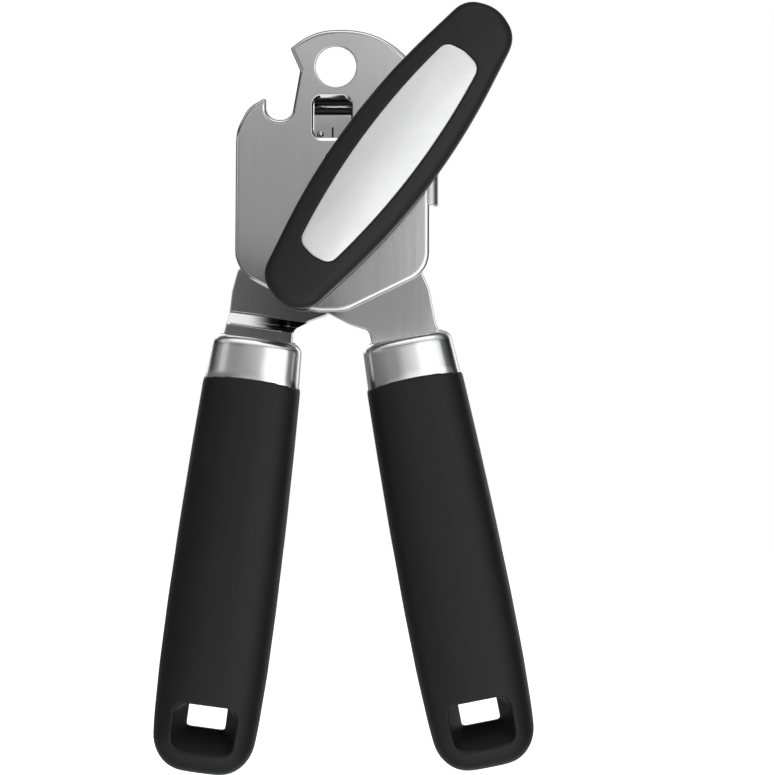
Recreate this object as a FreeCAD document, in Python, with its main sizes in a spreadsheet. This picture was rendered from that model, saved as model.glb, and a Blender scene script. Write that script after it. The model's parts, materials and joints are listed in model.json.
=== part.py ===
import FreeCAD, Part
import math
import os
import Sketcher
from FreeCAD import Placement, Rotation, Vector

# Manual can opener, standing upright in the XZ plane with its knob towards -Y.
# Origin: centre of the hanging hole, half way through the head plate. +Z is up, +X to the right.
# Each lever moves with its handle. The right lever turns about the pivot in an eccentric bushing,
# which carries the crank axle nearer to the cutting wheel as the handles close.

SIZES = (
    # Head plate
    ("sheet_wall", 1.2, "wall of the head plate"),
    ("rim_depth", 1.0, "how far the rolled rim stands back from the wall"),
    ("rim_width", 1.3, "width of the rolled rim"),
    ("rim_edge", 0.5, "round on the front edge of the plate"),
    ("hang_radius", 5.5, "hanging hole"),
    ("guide_edge", 25.3, "where the side guide starts to bend"),
    ("guide_bend", 2.5, "outer bend of the side guide"),
    ("guide_reach", 6.5, "rear edge of the side guide"),
    ("guide_top", -11.6, "top of the side guide"),
    ("guide_bottom", -37.3, "bottom of the side guide"),
    ("window_left", -6.0, "window's left side"),
    ("window_right", 4.2, "window's right side"),
    ("window_top", -8.3, "window's top"),
    ("window_bottom", -19.4, "window's bottom"),
    # Levers
    ("lever_wall", 2.0, "sheet of both levers"),
    ("right_front", 1.8, "front face of the right lever"),
    ("rear_front", 4.0, "front face of the left lever's blade"),
    ("shank_half", 9.4, "half width of a lever at its ferrule"),
    ("tang_half", 7.9, "half width of a lever's tang"),
    ("tang_start", 3.0, "tang's shoulder below the ferrule's top"),
    ("tang_length", 62.0, "tang's end below the ferrule's top"),
    ("pin_station", 30.0, "tang pin below the ferrule's top"),
    ("pin_radius", 1.5, "tang pin"),
    ("jog_start", -6.1, "upper bend of the joggle"),
    ("jog_end", -2.8, "lower bend of the joggle"),
    ("tab_reach", 12.3, "rear edge of the rim-rest tab"),
    ("tab_top", -7.1, "top of the rim-rest tab"),
    ("tab_foot", -15.7, "foot of the rim-rest tab on the blade"),
    ("tab_bend", 5.6, "outer bend of the rim-rest tab"),
    ("groove_top", -15.9, "top of the relief groove under the tab"),
    ("groove_bottom", -20.5, "bottom of that groove"),
    ("groove_middle", -0.95, "middle of that groove"),
    ("groove_half", 0.18, "half width of that groove"),
    ("groove_depth", 1.2, "depth of that groove"),
    # Pivot, crank and cutter
    ("pivot_x", 14.0, "handle pivot"),
    ("pivot_z", -21.7, "handle pivot"),
    ("throw", 3.3, "crank axle below the handle pivot"),
    ("journal_front", 7.6, "bushing in the head plate"),
    ("journal_seat", 8.1, "bushing in the right lever"),
    ("journal_rear", 8.6, "bushing in the left lever"),
    ("running_gap", 0.05, "clearance of each running fit"),
    ("bushing_front", -0.9, "front face of the bushing"),
    ("bushing_rear", 6.1, "rear face of the bushing"),
    ("right_eye", 11.4, "round end of the right lever"),
    ("left_eye", 11.7, "round end of the left lever"),
    ("axle_radius", 3.0, "crank axle"),
    ("axle_front", -9.0, "front end of the crank axle"),
    ("axle_head", 3.9, "riveted head of the crank axle"),
    ("axle_head_wall", 0.8, "thickness of that head"),
    ("drive_square", 4.2, "square end of the crank axle"),
    ("washer_radius", 6.2, "thrust washers"),
    ("washer_wall", 0.8, "rear thrust washer"),
    ("wheel_radius", 7.2, "feed wheel over its teeth"),
    ("wheel_width", 3.6, "feed wheel"),
    ("tooth_depth", 0.85, "feed wheel's teeth"),
    ("cutter_x", -1.1, "cutter stud"),
    ("cutter_z", -25.0, "cutter stud"),
    ("cutter_radius", 9.3, "cutting wheel"),
    ("cutter_front", 10.8, "front face of the cutting wheel's blade"),
    ("cutter_blade", 1.6, "thickness of the blade"),
    ("cutter_hub", 5.2, "hub of the cutting wheel"),
    ("cutter_hub_front", 7.0, "front face of the hub"),
    ("cutter_hub_rear", 12.9, "rear face of the hub"),
    ("bush_outer", 4.1, "cutter bush outside"),
    ("bush_inner", 3.05, "cutter bush inside"),
    ("stud_radius", 3.0, "cutter stud under the bush"),
    ("stud_foot", 1.8, "cutter stud through the plates"),
    ("stud_spacer", 3.4, "cutter stud between the plates"),
    ("stud_end", 13.0, "rear end of the cutter stud"),
    ("screw_shank", 1.5, "cutter screw and knob screw"),
    ("screw_head", 4.6, "head of the cutter screw"),
    ("screw_head_wall", 1.7, "thickness of that head"),
    ("spring_outer", 5.6, "spring washer"),
    ("spring_wall", 0.4, "spring washer's strip"),
    ("rivet_radius", 2.0, "head rivets"),
    ("rivet_head", 3.0, "heads of the head rivets"),
    ("rivet_dome", 0.7, "height of those heads"),
    ("spacer_radius", 3.0, "rivet spacers"),
    # Knob
    ("knob_tilt", 53.2, "knob's long axis above the X axis at rest"),
    ("knob_half", 47.8, "half length of the knob"),
    ("knob_belly", 12.9, "half width of the knob at its middle"),
    ("knob_front", -14.4, "front of the knob"),
    ("knob_back", -2.6, "back of the knob"),
    ("knob_edge", 3.0, "round on the knob's front edge"),
    ("knob_wall", 2.2, "wall of the knob shell"),
    ("knob_face", 3.4, "thickness of the shell's front under the inlay"),
    ("knob_boss", 9.0, "boss round the hub insert"),
    ("cover_wall", 1.5, "knob's back cover"),
    ("inlay_half", 33.3, "half length of the inlay"),
    ("inlay_belly", 8.0, "half width of the inlay at its middle"),
    ("inlay_wall", 0.9, "inlay"),
    ("insert_radius", 6.5, "hub insert"),
    ("insert_back", -1.85, "back face of the hub insert"),
    ("knob_screw_head", 3.6, "head of the knob screw"),
    ("knob_screw_rise", 1.2, "thickness of that head"),
    # Handles, measured down from the top of the ferrule
    ("mid_plane", 2.8, "Y of both handles' mid-plane"),
    ("left_x", -21.13, "left ferrule's top"),
    ("left_z", -73.4, "left ferrule's top"),
    ("left_tilt", 7.7, "left handle's lean"),
    ("right_x", 18.9, "right ferrule's top"),
    ("right_z", -73.0, "right ferrule's top"),
    ("right_tilt", -11.1, "right handle's lean"),
    ("ferrule_length", 11.9, "ferrule that shows above the grip"),
    ("ferrule_half", 12.75, "half width of the ferrule at the grip"),
    ("ferrule_depth", 8.9, "half depth of the ferrule at the grip"),
    ("ferrule_draft", -3.4, "how the ferrule draws in towards its top, in degrees"),
    ("ferrule_edge", 2.4, "round on the ferrule's shoulder"),
    ("spigot_half", 12.0, "half width of the ferrule under the grip"),
    ("spigot_depth", 8.2, "half depth of the ferrule under the grip"),
    ("spigot_end", 16.0, "end of the ferrule under the grip"),
    ("core_half", 9.6, "half width of the core"),
    ("core_depth", 6.0, "half depth of the core"),
    ("core_start", 1.3, "top of the core"),
    ("core_end", 96.0, "bottom of the core"),
    ("slot_gap", 0.15, "room round a lever in its slots"),
    ("grip_end", 118.6, "bottom of the grip"),
    ("grip_round", 7.5, "round at the bottom of the grip"),
    ("hole_station", 106.9, "end hole's middle"),
    ("hole_half", 9.4, "half width of the end hole's mouth"),
    ("hole_rise", 7.6, "half height of the end hole's mouth"),
    ("hole_level", 10.9, "where that mouth is measured, from the mid-plane"),
    ("throat_half", 5.15, "half width of the end hole's throat"),
    ("throat_rise", 3.25, "half height of the end hole's throat"),
    ("throat_shift", 3.85, "throat above the mouth's middle"),
    ("throat_level", 1.0, "where the recesses reach the throat, past the mid-plane"),
)

FEED_TEETH = 26
RIVETS = ((-10.3, -54.3), (-7.0, -37.3))

doc = FreeCAD.newDocument("can_opener")
sheet = doc.addObject("Spreadsheet::Sheet", "Sizes")
for row, (alias, value, note) in enumerate(SIZES, start=1):
    sheet.set(f"A{row}", note)
    sheet.set(f"B{row}", str(value))
    sheet.setAlias(f"B{row}", alias)
doc.recompute()


def size(alias):
    """The sheet's value for an alias."""
    return float(sheet.get(alias))


def new_body(label):
    """An empty PartDesign body with this label."""
    body = doc.addObject("PartDesign::Body", label)
    body.Label = label
    return body


def new_sketch(body, name, role, level="0"):
    """A sketch on one of the body's own origin planes, raised along its normal by an expression."""
    sketch = body.newObject("Sketcher::SketchObject", name)
    plane = next(item for item in body.Origin.OriginFeatures if item.Role == role)
    sketch.AttachmentSupport = (plane, "")
    sketch.MapMode = "FlatFace"
    sketch.setExpression("AttachmentOffset.Base.z", level)
    return sketch


def bind(sketch, constraint, expression):
    """Adds a dimension to a sketch and binds it to the sheet."""
    index = sketch.addConstraint(constraint)
    sketch.setExpression(f"Constraints[{index}]", expression)


def circle(sketch, x, y, expression, radius):
    """A circle whose radius follows the sheet."""
    index = sketch.addGeometry(Part.Circle(Vector(x, y, 0), Vector(0, 0, 1), radius), False)
    bind(sketch, Sketcher.Constraint("Radius", index, radius), expression)


def rounded_edges(corners):
    """Lines and tangent arcs of a closed outline. A corner is (x, y, radius)."""
    spots = []
    count = len(corners)
    for index, (x, y, radius) in enumerate(corners):
        corner = Vector(x, y, 0)
        before = Vector(*corners[index - 1][:2], 0)
        after = Vector(*corners[(index + 1) % count][:2], 0)
        back = (before - corner).normalize()
        ahead = (after - corner).normalize()
        half_angle = back.getAngle(ahead) / 2
        if radius == 0 or abs(half_angle - math.pi / 2) < 1e-4:
            spots.append((corner, None, corner))
            continue
        reach = radius / math.tan(half_angle)
        centre = corner + (back + ahead).normalize() * (radius / math.sin(half_angle))
        middle = centre + (corner - centre).normalize() * radius
        spots.append((corner + back * reach, middle, corner + ahead * reach))
    edges = []
    for index, (start, middle, end) in enumerate(spots):
        if middle is not None:
            edges.append(Part.Arc(start, middle, end))
        following = spots[(index + 1) % count][0]
        gap = following - end
        if gap.Length > 1e-4:
            course = Vector(*corners[(index + 1) % count][:2], 0) - Vector(*corners[index][:2], 0)
            if gap.dot(course) < 0:
                raise ValueError(f"the rounds at corners {index} and {index + 1} overlap: {corners[index]}")
            edges.append(Part.LineSegment(end, following))
    return edges


def outline(sketch, corners):
    """Draws a closed outline with rounded corners."""
    sketch.addGeometry(rounded_edges(corners), False)


def inset(corners, distance):
    """The corners of an outline moved inwards by a distance. The outline runs clockwise."""
    moved = []
    count = len(corners)
    for index, (x, y, radius) in enumerate(corners):
        corner = Vector(x, y, 0)
        incoming = (corner - Vector(*corners[index - 1][:2], 0)).normalize()
        outgoing = (Vector(*corners[(index + 1) % count][:2], 0) - corner).normalize()
        inward_in = Vector(incoming.y, -incoming.x, 0)
        inward_out = Vector(outgoing.y, -outgoing.x, 0)
        bisector = (inward_in + inward_out).normalize()
        spot = corner + bisector * (distance / bisector.dot(inward_in))
        convex = incoming.cross(outgoing).z < 0
        new_radius = max(radius - distance, 0) if convex else radius + distance
        moved.append((spot.x, spot.y, new_radius))
    return moved


def box_corners(half_x, half_y, radius, centre_y=0.0):
    """A rounded rectangle about (0, centre_y)."""
    low = centre_y - half_y
    high = centre_y + half_y
    return [(-half_x, high, radius), (half_x, high, radius), (half_x, low, radius), (-half_x, low, radius)]


def pad(body, name, sketch, length):
    """Pads a sketch along its normal by an expression."""
    feature = body.newObject("PartDesign::Pad", name)
    feature.Profile = sketch
    feature.setExpression("Length", length)
    body.Tip = feature
    return feature


CUTS = []


def pocket(body, name, sketch, length):
    """Cuts a sketch away against its normal by an expression."""
    before = body.Tip
    feature = body.newObject("PartDesign::Pocket", name)
    feature.Profile = sketch
    feature.Reversed = False
    feature.setExpression("Length", length)
    body.Tip = feature
    CUTS.append((before, feature))
    return feature


def front_pad(body, name, draw, front, rear):
    """Pads an XZ outline from its front face back to its rear face, both given as expressions of Y."""
    sketch = new_sketch(body, name + "_sketch", "XZ_Plane", f"-({rear})")
    draw(sketch)
    return pad(body, name, sketch, f"({rear}) - ({front})")


def front_cut(body, name, draw, front, rear):
    """Cuts an XZ outline out from its front face back to its rear face."""
    sketch = new_sketch(body, name + "_sketch", "XZ_Plane", f"-({front})")
    draw(sketch)
    return pocket(body, name, sketch, f"({rear}) - ({front})")


def down_pad(body, name, draw, top, bottom):
    """Pads an XY section of a handle from one station down to another."""
    sketch = new_sketch(body, name + "_sketch", "XY_Plane", f"-({bottom})")
    draw(sketch)
    return pad(body, name, sketch, f"({bottom}) - ({top})")


def down_cut(body, name, draw, top, bottom):
    """Cuts an XY section out of a handle from one station down to another."""
    sketch = new_sketch(body, name + "_sketch", "XY_Plane", f"-({top})")
    draw(sketch)
    return pocket(body, name, sketch, f"({bottom}) - ({top})")


def round_edges(body, name, radius, chosen):
    """Rounds the tip's edges that a test picks."""
    doc.recompute()
    base = body.Tip
    names = [f"Edge{number}" for number, edge in enumerate(base.Shape.Edges, start=1) if chosen(edge)]
    feature = body.newObject("PartDesign::Fillet", name)
    feature.Base = (base, names)
    feature.setExpression("Radius", radius)
    body.Tip = feature


def at_y(level):
    """An edge test: the whole edge lies at this Y."""
    return lambda edge: abs(edge.BoundBox.YMin - level) < 1e-4 and abs(edge.BoundBox.YMax - level) < 1e-4


def handle_point(side, across, along):
    """The X and Z of a point of a handle: across its axis, and along it from the ferrule's top."""
    tilt = math.radians(size(side + "_tilt"))
    x = size(side + "_x") + across * math.cos(tilt) - along * math.sin(tilt)
    z = size(side + "_z") - across * math.sin(tilt) - along * math.cos(tilt)
    return x, z


def handle_placement(side):
    """A handle's own frame: origin at its ferrule's top, Z up along its axis."""
    turn = Rotation(Vector(0, 1, 0), size(side + "_tilt"))
    return Placement(Vector(size(side + "_x"), size("mid_plane"), size(side + "_z")), turn)


PIVOT = (size("pivot_x"), size("pivot_z"))
CRANK = (size("pivot_x"), size("pivot_z") - size("throw"))
CUTTER = (size("cutter_x"), size("cutter_z"))
REAR = "Sizes.rear_front + Sizes.lever_wall"
PLATE_FRONT = "-Sizes.sheet_wall / 2"
PLATE_REAR = "Sizes.sheet_wall / 2"


def disc(centre, expression):
    """A drawing routine: one circle whose radius is an expression of the sheet."""
    radius = float(sheet.evalExpression(expression))
    return lambda sketch: circle(sketch, centre[0], centre[1], expression, radius)


def shape_of(corners):
    """A drawing routine: one rounded outline."""
    return lambda sketch: outline(sketch, corners)


# ---- Head plate: rounded sheet with a rolled rim, a bottle-opener notch and a folded side guide ----

PLATE_CORNERS = [
    (-12.3, 5.0, 0.7), (-5.6, 10.0, 16.0), (25.3, 10.0, 23.0),
    (25.2, -55.1, 8.0), (2.5, -66.1, 9.0), (-6.3, -66.1, 9.0), (-27.3, -55.1, 9.5),
    (-27.0, -17.2, 12.0), (-23.6, -10.9, 7.0), (-18.8, -8.2, 0.6),
    (-18.9, -14.3, 3.4), (-12.1, -14.3, 3.2), (-9.7, -1.0, 1.2),
]


def make_head_plate():
    """The visible plate, the root of the whole opener."""
    body = new_body("head_plate")
    front_pad(body, "plate", shape_of(PLATE_CORNERS), PLATE_FRONT, PLATE_REAR + " + Sizes.rim_depth")
    hollow = inset(PLATE_CORNERS, size("rim_width"))
    front_cut(body, "back_recess", shape_of(hollow), PLATE_REAR, PLATE_REAR + " + Sizes.rim_depth + 1")
    round_edges(body, "front_round", "Sizes.rim_edge", at_y(-size("sheet_wall") / 2))
    left, right = size("window_left"), size("window_right")
    top, bottom = size("window_top"), size("window_bottom")
    window = [(left, top, 1.6), (right, top, 1.6), (right, bottom, 1.6), (left, bottom, 1.6)]
    holes = [("hanging_hole", disc((0, 0), "Sizes.hang_radius")), ("window", shape_of(window)),
             ("pivot_hole", disc(PIVOT, "Sizes.journal_front + Sizes.running_gap")),
             ("stud_hole", disc(CUTTER, "Sizes.stud_foot"))]
    holes += [(f"rivet_hole_{number}", disc(spot, "Sizes.rivet_radius"))
              for number, spot in enumerate(RIVETS)]
    for name, draw in holes:
        front_cut(body, name, draw, "-1", "2")
    bend = size("guide_bend")
    edge = size("guide_edge")
    wall = size("sheet_wall")
    face = -wall / 2
    guide = [(edge - 1.5, face, 0), (edge - 1.5, face + wall, 0),
             (edge + bend - wall, face + wall, bend - wall), (edge + bend - wall, size("guide_reach"), 0.4),
             (edge + bend, size("guide_reach"), 0.4), (edge + bend, face, bend)]
    sketch = new_sketch(body, "guide_sketch", "XY_Plane", "Sizes.guide_bottom")
    outline(sketch, guide)
    pad(body, "side_guide", sketch, "Sizes.guide_top - Sizes.guide_bottom")
    return body


# ---- Levers: flat sheet blades whose tangs run down inside the handles ----

def tang(side):
    """Corners of a lever below its ferrule's top, from its right shank round to its left one."""
    shank, slim = size("shank_half"), size("tang_half")
    start, end = size("tang_start"), size("tang_length")
    spots = ((shank, 0, 1), (shank, start, 0), (slim, start, 0.5), (slim, end, 3),
             (-slim, end, 3), (-slim, start, 0.5), (-shank, start, 0), (-shank, 0, 1))
    return [(*handle_point(side, across, along), radius) for across, along, radius in spots]


def eye(radius):
    """The two corners that make the upper half of a lever's round end."""
    x, z = PIVOT
    return [(x - radius, z + radius, radius), (x + radius, z + radius, radius)]


def cut_tang_hole(body, side, front, rear):
    """The hole for the tang pin."""
    spot = handle_point(side, 0, size("pin_station"))
    front_cut(body, "tang_hole", disc(spot, "Sizes.pin_radius"), front, rear)


def make_right_lever():
    """The feed lever's blade, between the head plate and the left lever."""
    body = new_body("right_lever")
    blade = eye(size("right_eye"))
    blade += [(25.4, -24.9, 5), (16.3, -41.6, 4), (22.6, -53.9, 3), (25.3, -60.0, 6), (27.1, -69.5, 4)]
    blade += tang("right")
    blade += [(8.9, -71.3, 2), (3.8, -69.6, 6), (-2.9, -66.2, 0.8), (3.2, -60.5, 2),
              (3.2, -45.0, 5), (4.4, -28.6, 1.5), (2.6, -24.0, 2)]
    front, rear = "Sizes.right_front", "Sizes.right_front + Sizes.lever_wall"
    front_pad(body, "blade", shape_of(blade), front, rear)
    front_cut(body, "bushing_hole", disc(PIVOT, "Sizes.journal_seat"), front, rear)
    cut_tang_hole(body, "right", front, rear)
    return body


def make_left_lever():
    """The cutter lever's blade: outline and bent side profile in common, with the rim-rest tab."""
    left, right = size("window_left"), size("window_right")
    circle_x, circle_z = PIVOT
    radius = size("left_eye")
    blade = [(left, -14.4, 0), (right, -14.4, 0),
             (circle_x - 0.33 * radius, circle_z + radius, radius * 0.99),
             (circle_x + radius, circle_z + radius, radius * 0.99),
             (circle_x + radius, -26, 8), (12, -50, 20), (2, -61.5, 6), (-2.3, -66.9, 1.2),
             (-7.0, -68.6, 3), (-11.6, -71.0, 2.5)]
    blade += tang("left")
    blade += [(-29.0, -66.5, 6), (-28.3, -60.5, 8), (-26.8, -55.0, 4), (-23.0, -50, 8),
              (-16, -36, 20), (-11.5, -24, 12)]
    flat = new_body("left_lever_outline")
    front_pad(flat, "outline", shape_of(blade), "0", REAR + " + 1")
    for name, spot, radius_name in (("pivot_hole", PIVOT, "Sizes.journal_rear + Sizes.running_gap"),
                                    ("stud_hole", CUTTER, "Sizes.stud_foot"),
                                    ("rivet_hole_0", RIVETS[0], "Sizes.rivet_radius"),
                                    ("rivet_hole_1", RIVETS[1], "Sizes.rivet_radius")):
        front_cut(flat, name, disc(spot, radius_name), "-1", REAR + " + 2")
    cut_tang_hole(flat, "left", "-1", REAR + " + 2")
    near, far = (size("groove_middle") + side * size("groove_half") for side in (-1, 1))
    high, low = size("groove_top"), size("groove_bottom")
    groove = [(near, high, 0), (far, high, 0), (far, low, 0), (near, low, 0)]
    front_cut(flat, "relief_groove", shape_of(groove), "-1", "Sizes.rear_front + Sizes.groove_depth")

    wall, mid = size("lever_wall"), size("mid_plane")
    upper = size("rear_front") - mid
    lower = size("right_front") - mid
    start, end = size("jog_start"), size("jog_end")
    slope = math.atan2(upper - lower, end - start)
    shift = wall * math.tan(slope / 2)
    profile = [(upper, 80, 0), (upper + wall, 80, 0), (upper + wall, -start - shift, 2.6),
               (lower + wall, -end - shift, 0.6), (lower + wall, -70, 0), (lower, -70, 0),
               (lower, -end, 2.6), (upper, -start, 0.6)]
    bent = new_body("left_lever_profile")
    sketch = new_sketch(bent, "profile_sketch", "YZ_Plane", "-80")
    outline(sketch, profile)
    pad(bent, "profile", sketch, "160")
    bent.Placement = handle_placement("left")

    front = size("rear_front")
    top, reach, foot = size("tab_top"), size("tab_reach"), size("tab_foot")
    bend = size("tab_bend")
    strip = [(front, top, bend), (reach, top, 0.3), (reach, top - wall, 0.3),
             (front + wall, top - wall, bend - wall), (front + wall, foot, 0), (front, foot, 0)]
    tab = new_body("left_lever_tab")
    sketch = new_sketch(tab, "tab_sketch", "YZ_Plane", "Sizes.window_left")
    outline(sketch, strip)
    pad(tab, "tab", sketch, "Sizes.window_right - Sizes.window_left")

    common = doc.addObject("Part::MultiCommon", "left_lever_sheet")
    common.Shapes = [flat, bent]
    lever = doc.addObject("Part::MultiFuse", "left_lever")
    lever.Shapes = [common, tab]
    lever.Refine = True
    lever.Label = "left_lever"
    return lever


# ---- Fastenings of the cutter side ----

def make_head_rivets():
    """Two rivets through the head plate, their spacers and the left lever."""
    solids = []
    for number, (x, z) in enumerate(RIVETS):
        body = new_body(f"head_rivet_{number}")
        spot = (x, z)
        front_pad(body, "shank", disc(spot, "Sizes.rivet_radius"), PLATE_FRONT, REAR)
        front_pad(body, "front_head", disc(spot, "Sizes.rivet_head"),
                  PLATE_FRONT + " - Sizes.rivet_dome", PLATE_FRONT)
        front_pad(body, "rear_head", disc(spot, "Sizes.rivet_head"), REAR, REAR + " + Sizes.rivet_dome")
        ends = (-size("sheet_wall") / 2 - size("rivet_dome"),
                size("rear_front") + size("lever_wall") + size("rivet_dome"))
        round_edges(body, "domes", "Sizes.rivet_dome * 0.8",
                    lambda edge: any(at_y(end)(edge) for end in ends))
        solids.append(body)
    group = doc.addObject("Part::Compound", "head_rivets")
    group.Links = solids
    group.Label = "head_rivets"
    return group


def make_rivet_spacers():
    """Two tubes that keep the plate and the left lever apart."""
    solids = []
    for number, spot in enumerate(RIVETS):
        body = new_body(f"rivet_spacer_{number}")
        front_pad(body, "tube", disc(spot, "Sizes.spacer_radius"), PLATE_REAR, "Sizes.rear_front")
        front_cut(body, "bore", disc(spot, "Sizes.rivet_radius"), PLATE_REAR, "Sizes.rear_front")
        solids.append(body)
    group = doc.addObject("Part::Compound", "rivet_spacers")
    group.Links = solids
    group.Label = "rivet_spacers"
    return group


def make_cutter_stud():
    """Shouldered stud, tapped from behind for the cutter screw."""
    body = new_body("cutter_stud")
    front_pad(body, "foot", disc(CUTTER, "Sizes.stud_foot"), PLATE_FRONT, REAR)
    front_pad(body, "spacer", disc(CUTTER, "Sizes.stud_spacer"), PLATE_REAR, "Sizes.rear_front")
    front_pad(body, "bearing", disc(CUTTER, "Sizes.stud_radius"), REAR, "Sizes.stud_end")
    front_cut(body, "thread", disc(CUTTER, "Sizes.screw_shank"), "Sizes.stud_end - 7", "Sizes.stud_end")
    return body


def make_cutter_spring_washer():
    """Waved strip washer, drawn flat at the middle of its wave."""
    body = new_body("cutter_spring_washer")
    front_pad(body, "ring", disc(CUTTER, "Sizes.spring_outer"), REAR + " + 0.1",
              REAR + " + 0.1 + Sizes.spring_wall")
    front_cut(body, "bore", disc(CUTTER, "Sizes.stud_radius + Sizes.running_gap"), REAR, REAR + " + 1")
    return body


def make_cutter_screw():
    """Pan-head screw behind the cutting wheel."""
    body = new_body("cutter_screw")
    front_pad(body, "shank", disc(CUTTER, "Sizes.screw_shank"), "Sizes.stud_end - 6", "Sizes.stud_end")
    rear = "Sizes.stud_end + Sizes.screw_head_wall"
    front_pad(body, "head", disc(CUTTER, "Sizes.screw_head"), "Sizes.stud_end", rear)
    end = size("stud_end") + size("screw_head_wall")
    round_edges(body, "dome", "Sizes.screw_head_wall * 0.7", at_y(end))
    x, z = CUTTER
    slot = [(x - 5, z + 0.4, 0), (x + 5, z + 0.4, 0), (x + 5, z - 0.4, 0), (x - 5, z - 0.4, 0)]
    front_cut(body, "slot", shape_of(slot), rear + " - 0.8", rear)
    return body


def revolve(body, name, profile, centre):
    """Turns a profile of (radius, Y) corners about the Y direction through an XZ centre."""
    x, z = centre
    sketch = new_sketch(body, name + "_sketch", "XY_Plane", str(z))
    outline(sketch, [(x + radius, y, rounding) for radius, y, rounding in profile])
    axis = Vector(x, -50, 0)
    sketch.addGeometry(Part.LineSegment(axis, axis + Vector(0, 100, 0)), True)
    feature = body.newObject("PartDesign::Revolution", name)
    feature.Profile = sketch
    feature.ReferenceAxis = (sketch, ["Axis0"])
    feature.Angle = 360
    body.Tip = feature


def make_cutting_wheel():
    """Round blade, flat in front and bevelled behind, on a short hub."""
    body = new_body("cutting_wheel")
    blade_front, blade = size("cutter_front"), size("cutter_blade")
    rim, hub, bore = size("cutter_radius"), size("cutter_hub"), size("bush_outer")
    profile = [(bore, size("cutter_hub_front"), 0), (bore, size("cutter_hub_rear"), 0),
               (hub, size("cutter_hub_rear"), 0.3), (hub, blade_front + blade, 0),
               (rim - 2.6, blade_front + blade, 0), (rim, blade_front + 0.15, 0), (rim, blade_front, 0),
               (hub, blade_front, 0), (hub, size("cutter_hub_front"), 0.3)]
    revolve(body, "blade", profile, CUTTER)
    return body


def make_cutter_bush():
    """Plain bearing pressed in the cutting wheel."""
    body = new_body("cutter_bush")
    front_pad(body, "tube", disc(CUTTER, "Sizes.bush_outer"), "Sizes.cutter_hub_front",
              "Sizes.cutter_hub_rear")
    front_cut(body, "bore", disc(CUTTER, "Sizes.bush_inner"), "Sizes.cutter_hub_front",
              "Sizes.cutter_hub_rear")
    return body


# ---- Pivot and crank ----

def make_eccentric_bushing():
    """Three journals about the pivot, bored off centre for the crank axle."""
    body = new_body("eccentric_bushing")
    seat_rear = "Sizes.right_front + Sizes.lever_wall"
    front_pad(body, "front_journal", disc(PIVOT, "Sizes.journal_front"), "Sizes.bushing_front",
              "Sizes.right_front")
    front_pad(body, "seat", disc(PIVOT, "Sizes.journal_seat"), "Sizes.right_front", seat_rear)
    front_pad(body, "rear_journal", disc(PIVOT, "Sizes.journal_rear"), seat_rear, "Sizes.bushing_rear")
    front_cut(body, "axle_bore", disc(CRANK, "Sizes.axle_radius + Sizes.running_gap"),
              "Sizes.bushing_front", "Sizes.bushing_rear")
    return body


WHEEL_FRONT = "Sizes.bushing_rear + Sizes.running_gap + Sizes.washer_wall"
WHEEL_REAR = WHEEL_FRONT + " + Sizes.wheel_width"


def square_about(centre, half):
    """Corners of a square about a centre."""
    x, z = centre
    return [(x - half, z + half, 0.3), (x + half, z + half, 0.3),
            (x + half, z - half, 0.3), (x - half, z - half, 0.3)]


def make_crank_axle():
    """Axle with a square front end for the knob and a riveted rear head."""
    body = new_body("crank_axle")
    square = square_about(CRANK, size("drive_square") / 2)
    front_pad(body, "drive_end", shape_of(square), "Sizes.axle_front", "Sizes.insert_back")
    front_pad(body, "shaft", disc(CRANK, "Sizes.axle_radius"), "Sizes.insert_back", WHEEL_REAR)
    front_pad(body, "riveted_head", disc(CRANK, "Sizes.axle_head"), WHEEL_REAR,
              WHEEL_REAR + " + Sizes.axle_head_wall")
    front_cut(body, "screw_hole", disc(CRANK, "Sizes.screw_shank"), "Sizes.axle_front",
              "Sizes.axle_front + 7")
    return body


def make_feed_wheel():
    """Toothed wheel; one V notch is repeated round the rim."""
    body = new_body("feed_wheel")
    centre = (0, 0)
    front_pad(body, "blank", disc(centre, "Sizes.wheel_radius"), WHEEL_FRONT, WHEEL_REAR)
    front_cut(body, "bore", disc(centre, "Sizes.axle_radius"), WHEEL_FRONT, WHEEL_REAR)
    doc.recompute()
    rim, root = size("wheel_radius"), size("wheel_radius") - size("tooth_depth")
    half = rim * math.sin(math.pi / FEED_TEETH) * 0.8
    notch = [(-half * 1.25, rim + 0.3, 0), (half * 1.25, rim + 0.3, 0), (0, root, 0.12)]
    cut = front_cut(body, "notch", shape_of(notch), WHEEL_FRONT, WHEEL_REAR)
    pattern = body.newObject("PartDesign::PolarPattern", "notches")
    pattern.Originals = [cut]
    axis = next(item for item in body.Origin.OriginFeatures if item.Role == "Y_Axis")
    pattern.Axis = (axis, [""])
    pattern.Angle = 360
    pattern.Occurrences = FEED_TEETH
    body.Tip = pattern
    body.Placement = Placement(Vector(CRANK[0], 0, CRANK[1]), Rotation())
    return body


def make_washer(label, front, rear):
    """A thrust washer on the crank axle."""
    body = new_body(label)
    front_pad(body, "ring", disc(CRANK, "Sizes.washer_radius"), front, rear)
    front_cut(body, "bore", disc(CRANK, "Sizes.axle_radius"), front, rear)
    return body


# ---- Knob, modelled lengthwise along X about the crank axle and then tilted ----

def mirrored(corners):
    """Adds the mirror image of the corners between two tips that lie on the X axis."""
    return corners + [(x, -y, radius) for x, y, radius in reversed(corners[1:-1])]


def knob_corners():
    """Outline of the knob: two gently bowed sides and softly rounded ends, the upper one broader."""
    half, belly = size("knob_half"), size("knob_belly")
    return mirrored([(-half - 1.1, 0, 10), (-half + 2.1, 7.95, 7), (0, belly + 3.5, 180),
                     (half - 2.0, 8.45, 7), (half + 1.3, 0, 10)])


def inlay_corners():
    """Outline of the inlay."""
    half, belly = size("inlay_half"), size("inlay_belly")
    return mirrored([(-half - 0.1, 0, 9), (-half + 0.95, 5.15, 3.2), (0.3, belly + 2.55, 190),
                     (half - 0.2, 5.6, 3.2), (half + 0.8, 0, 9)])


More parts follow.
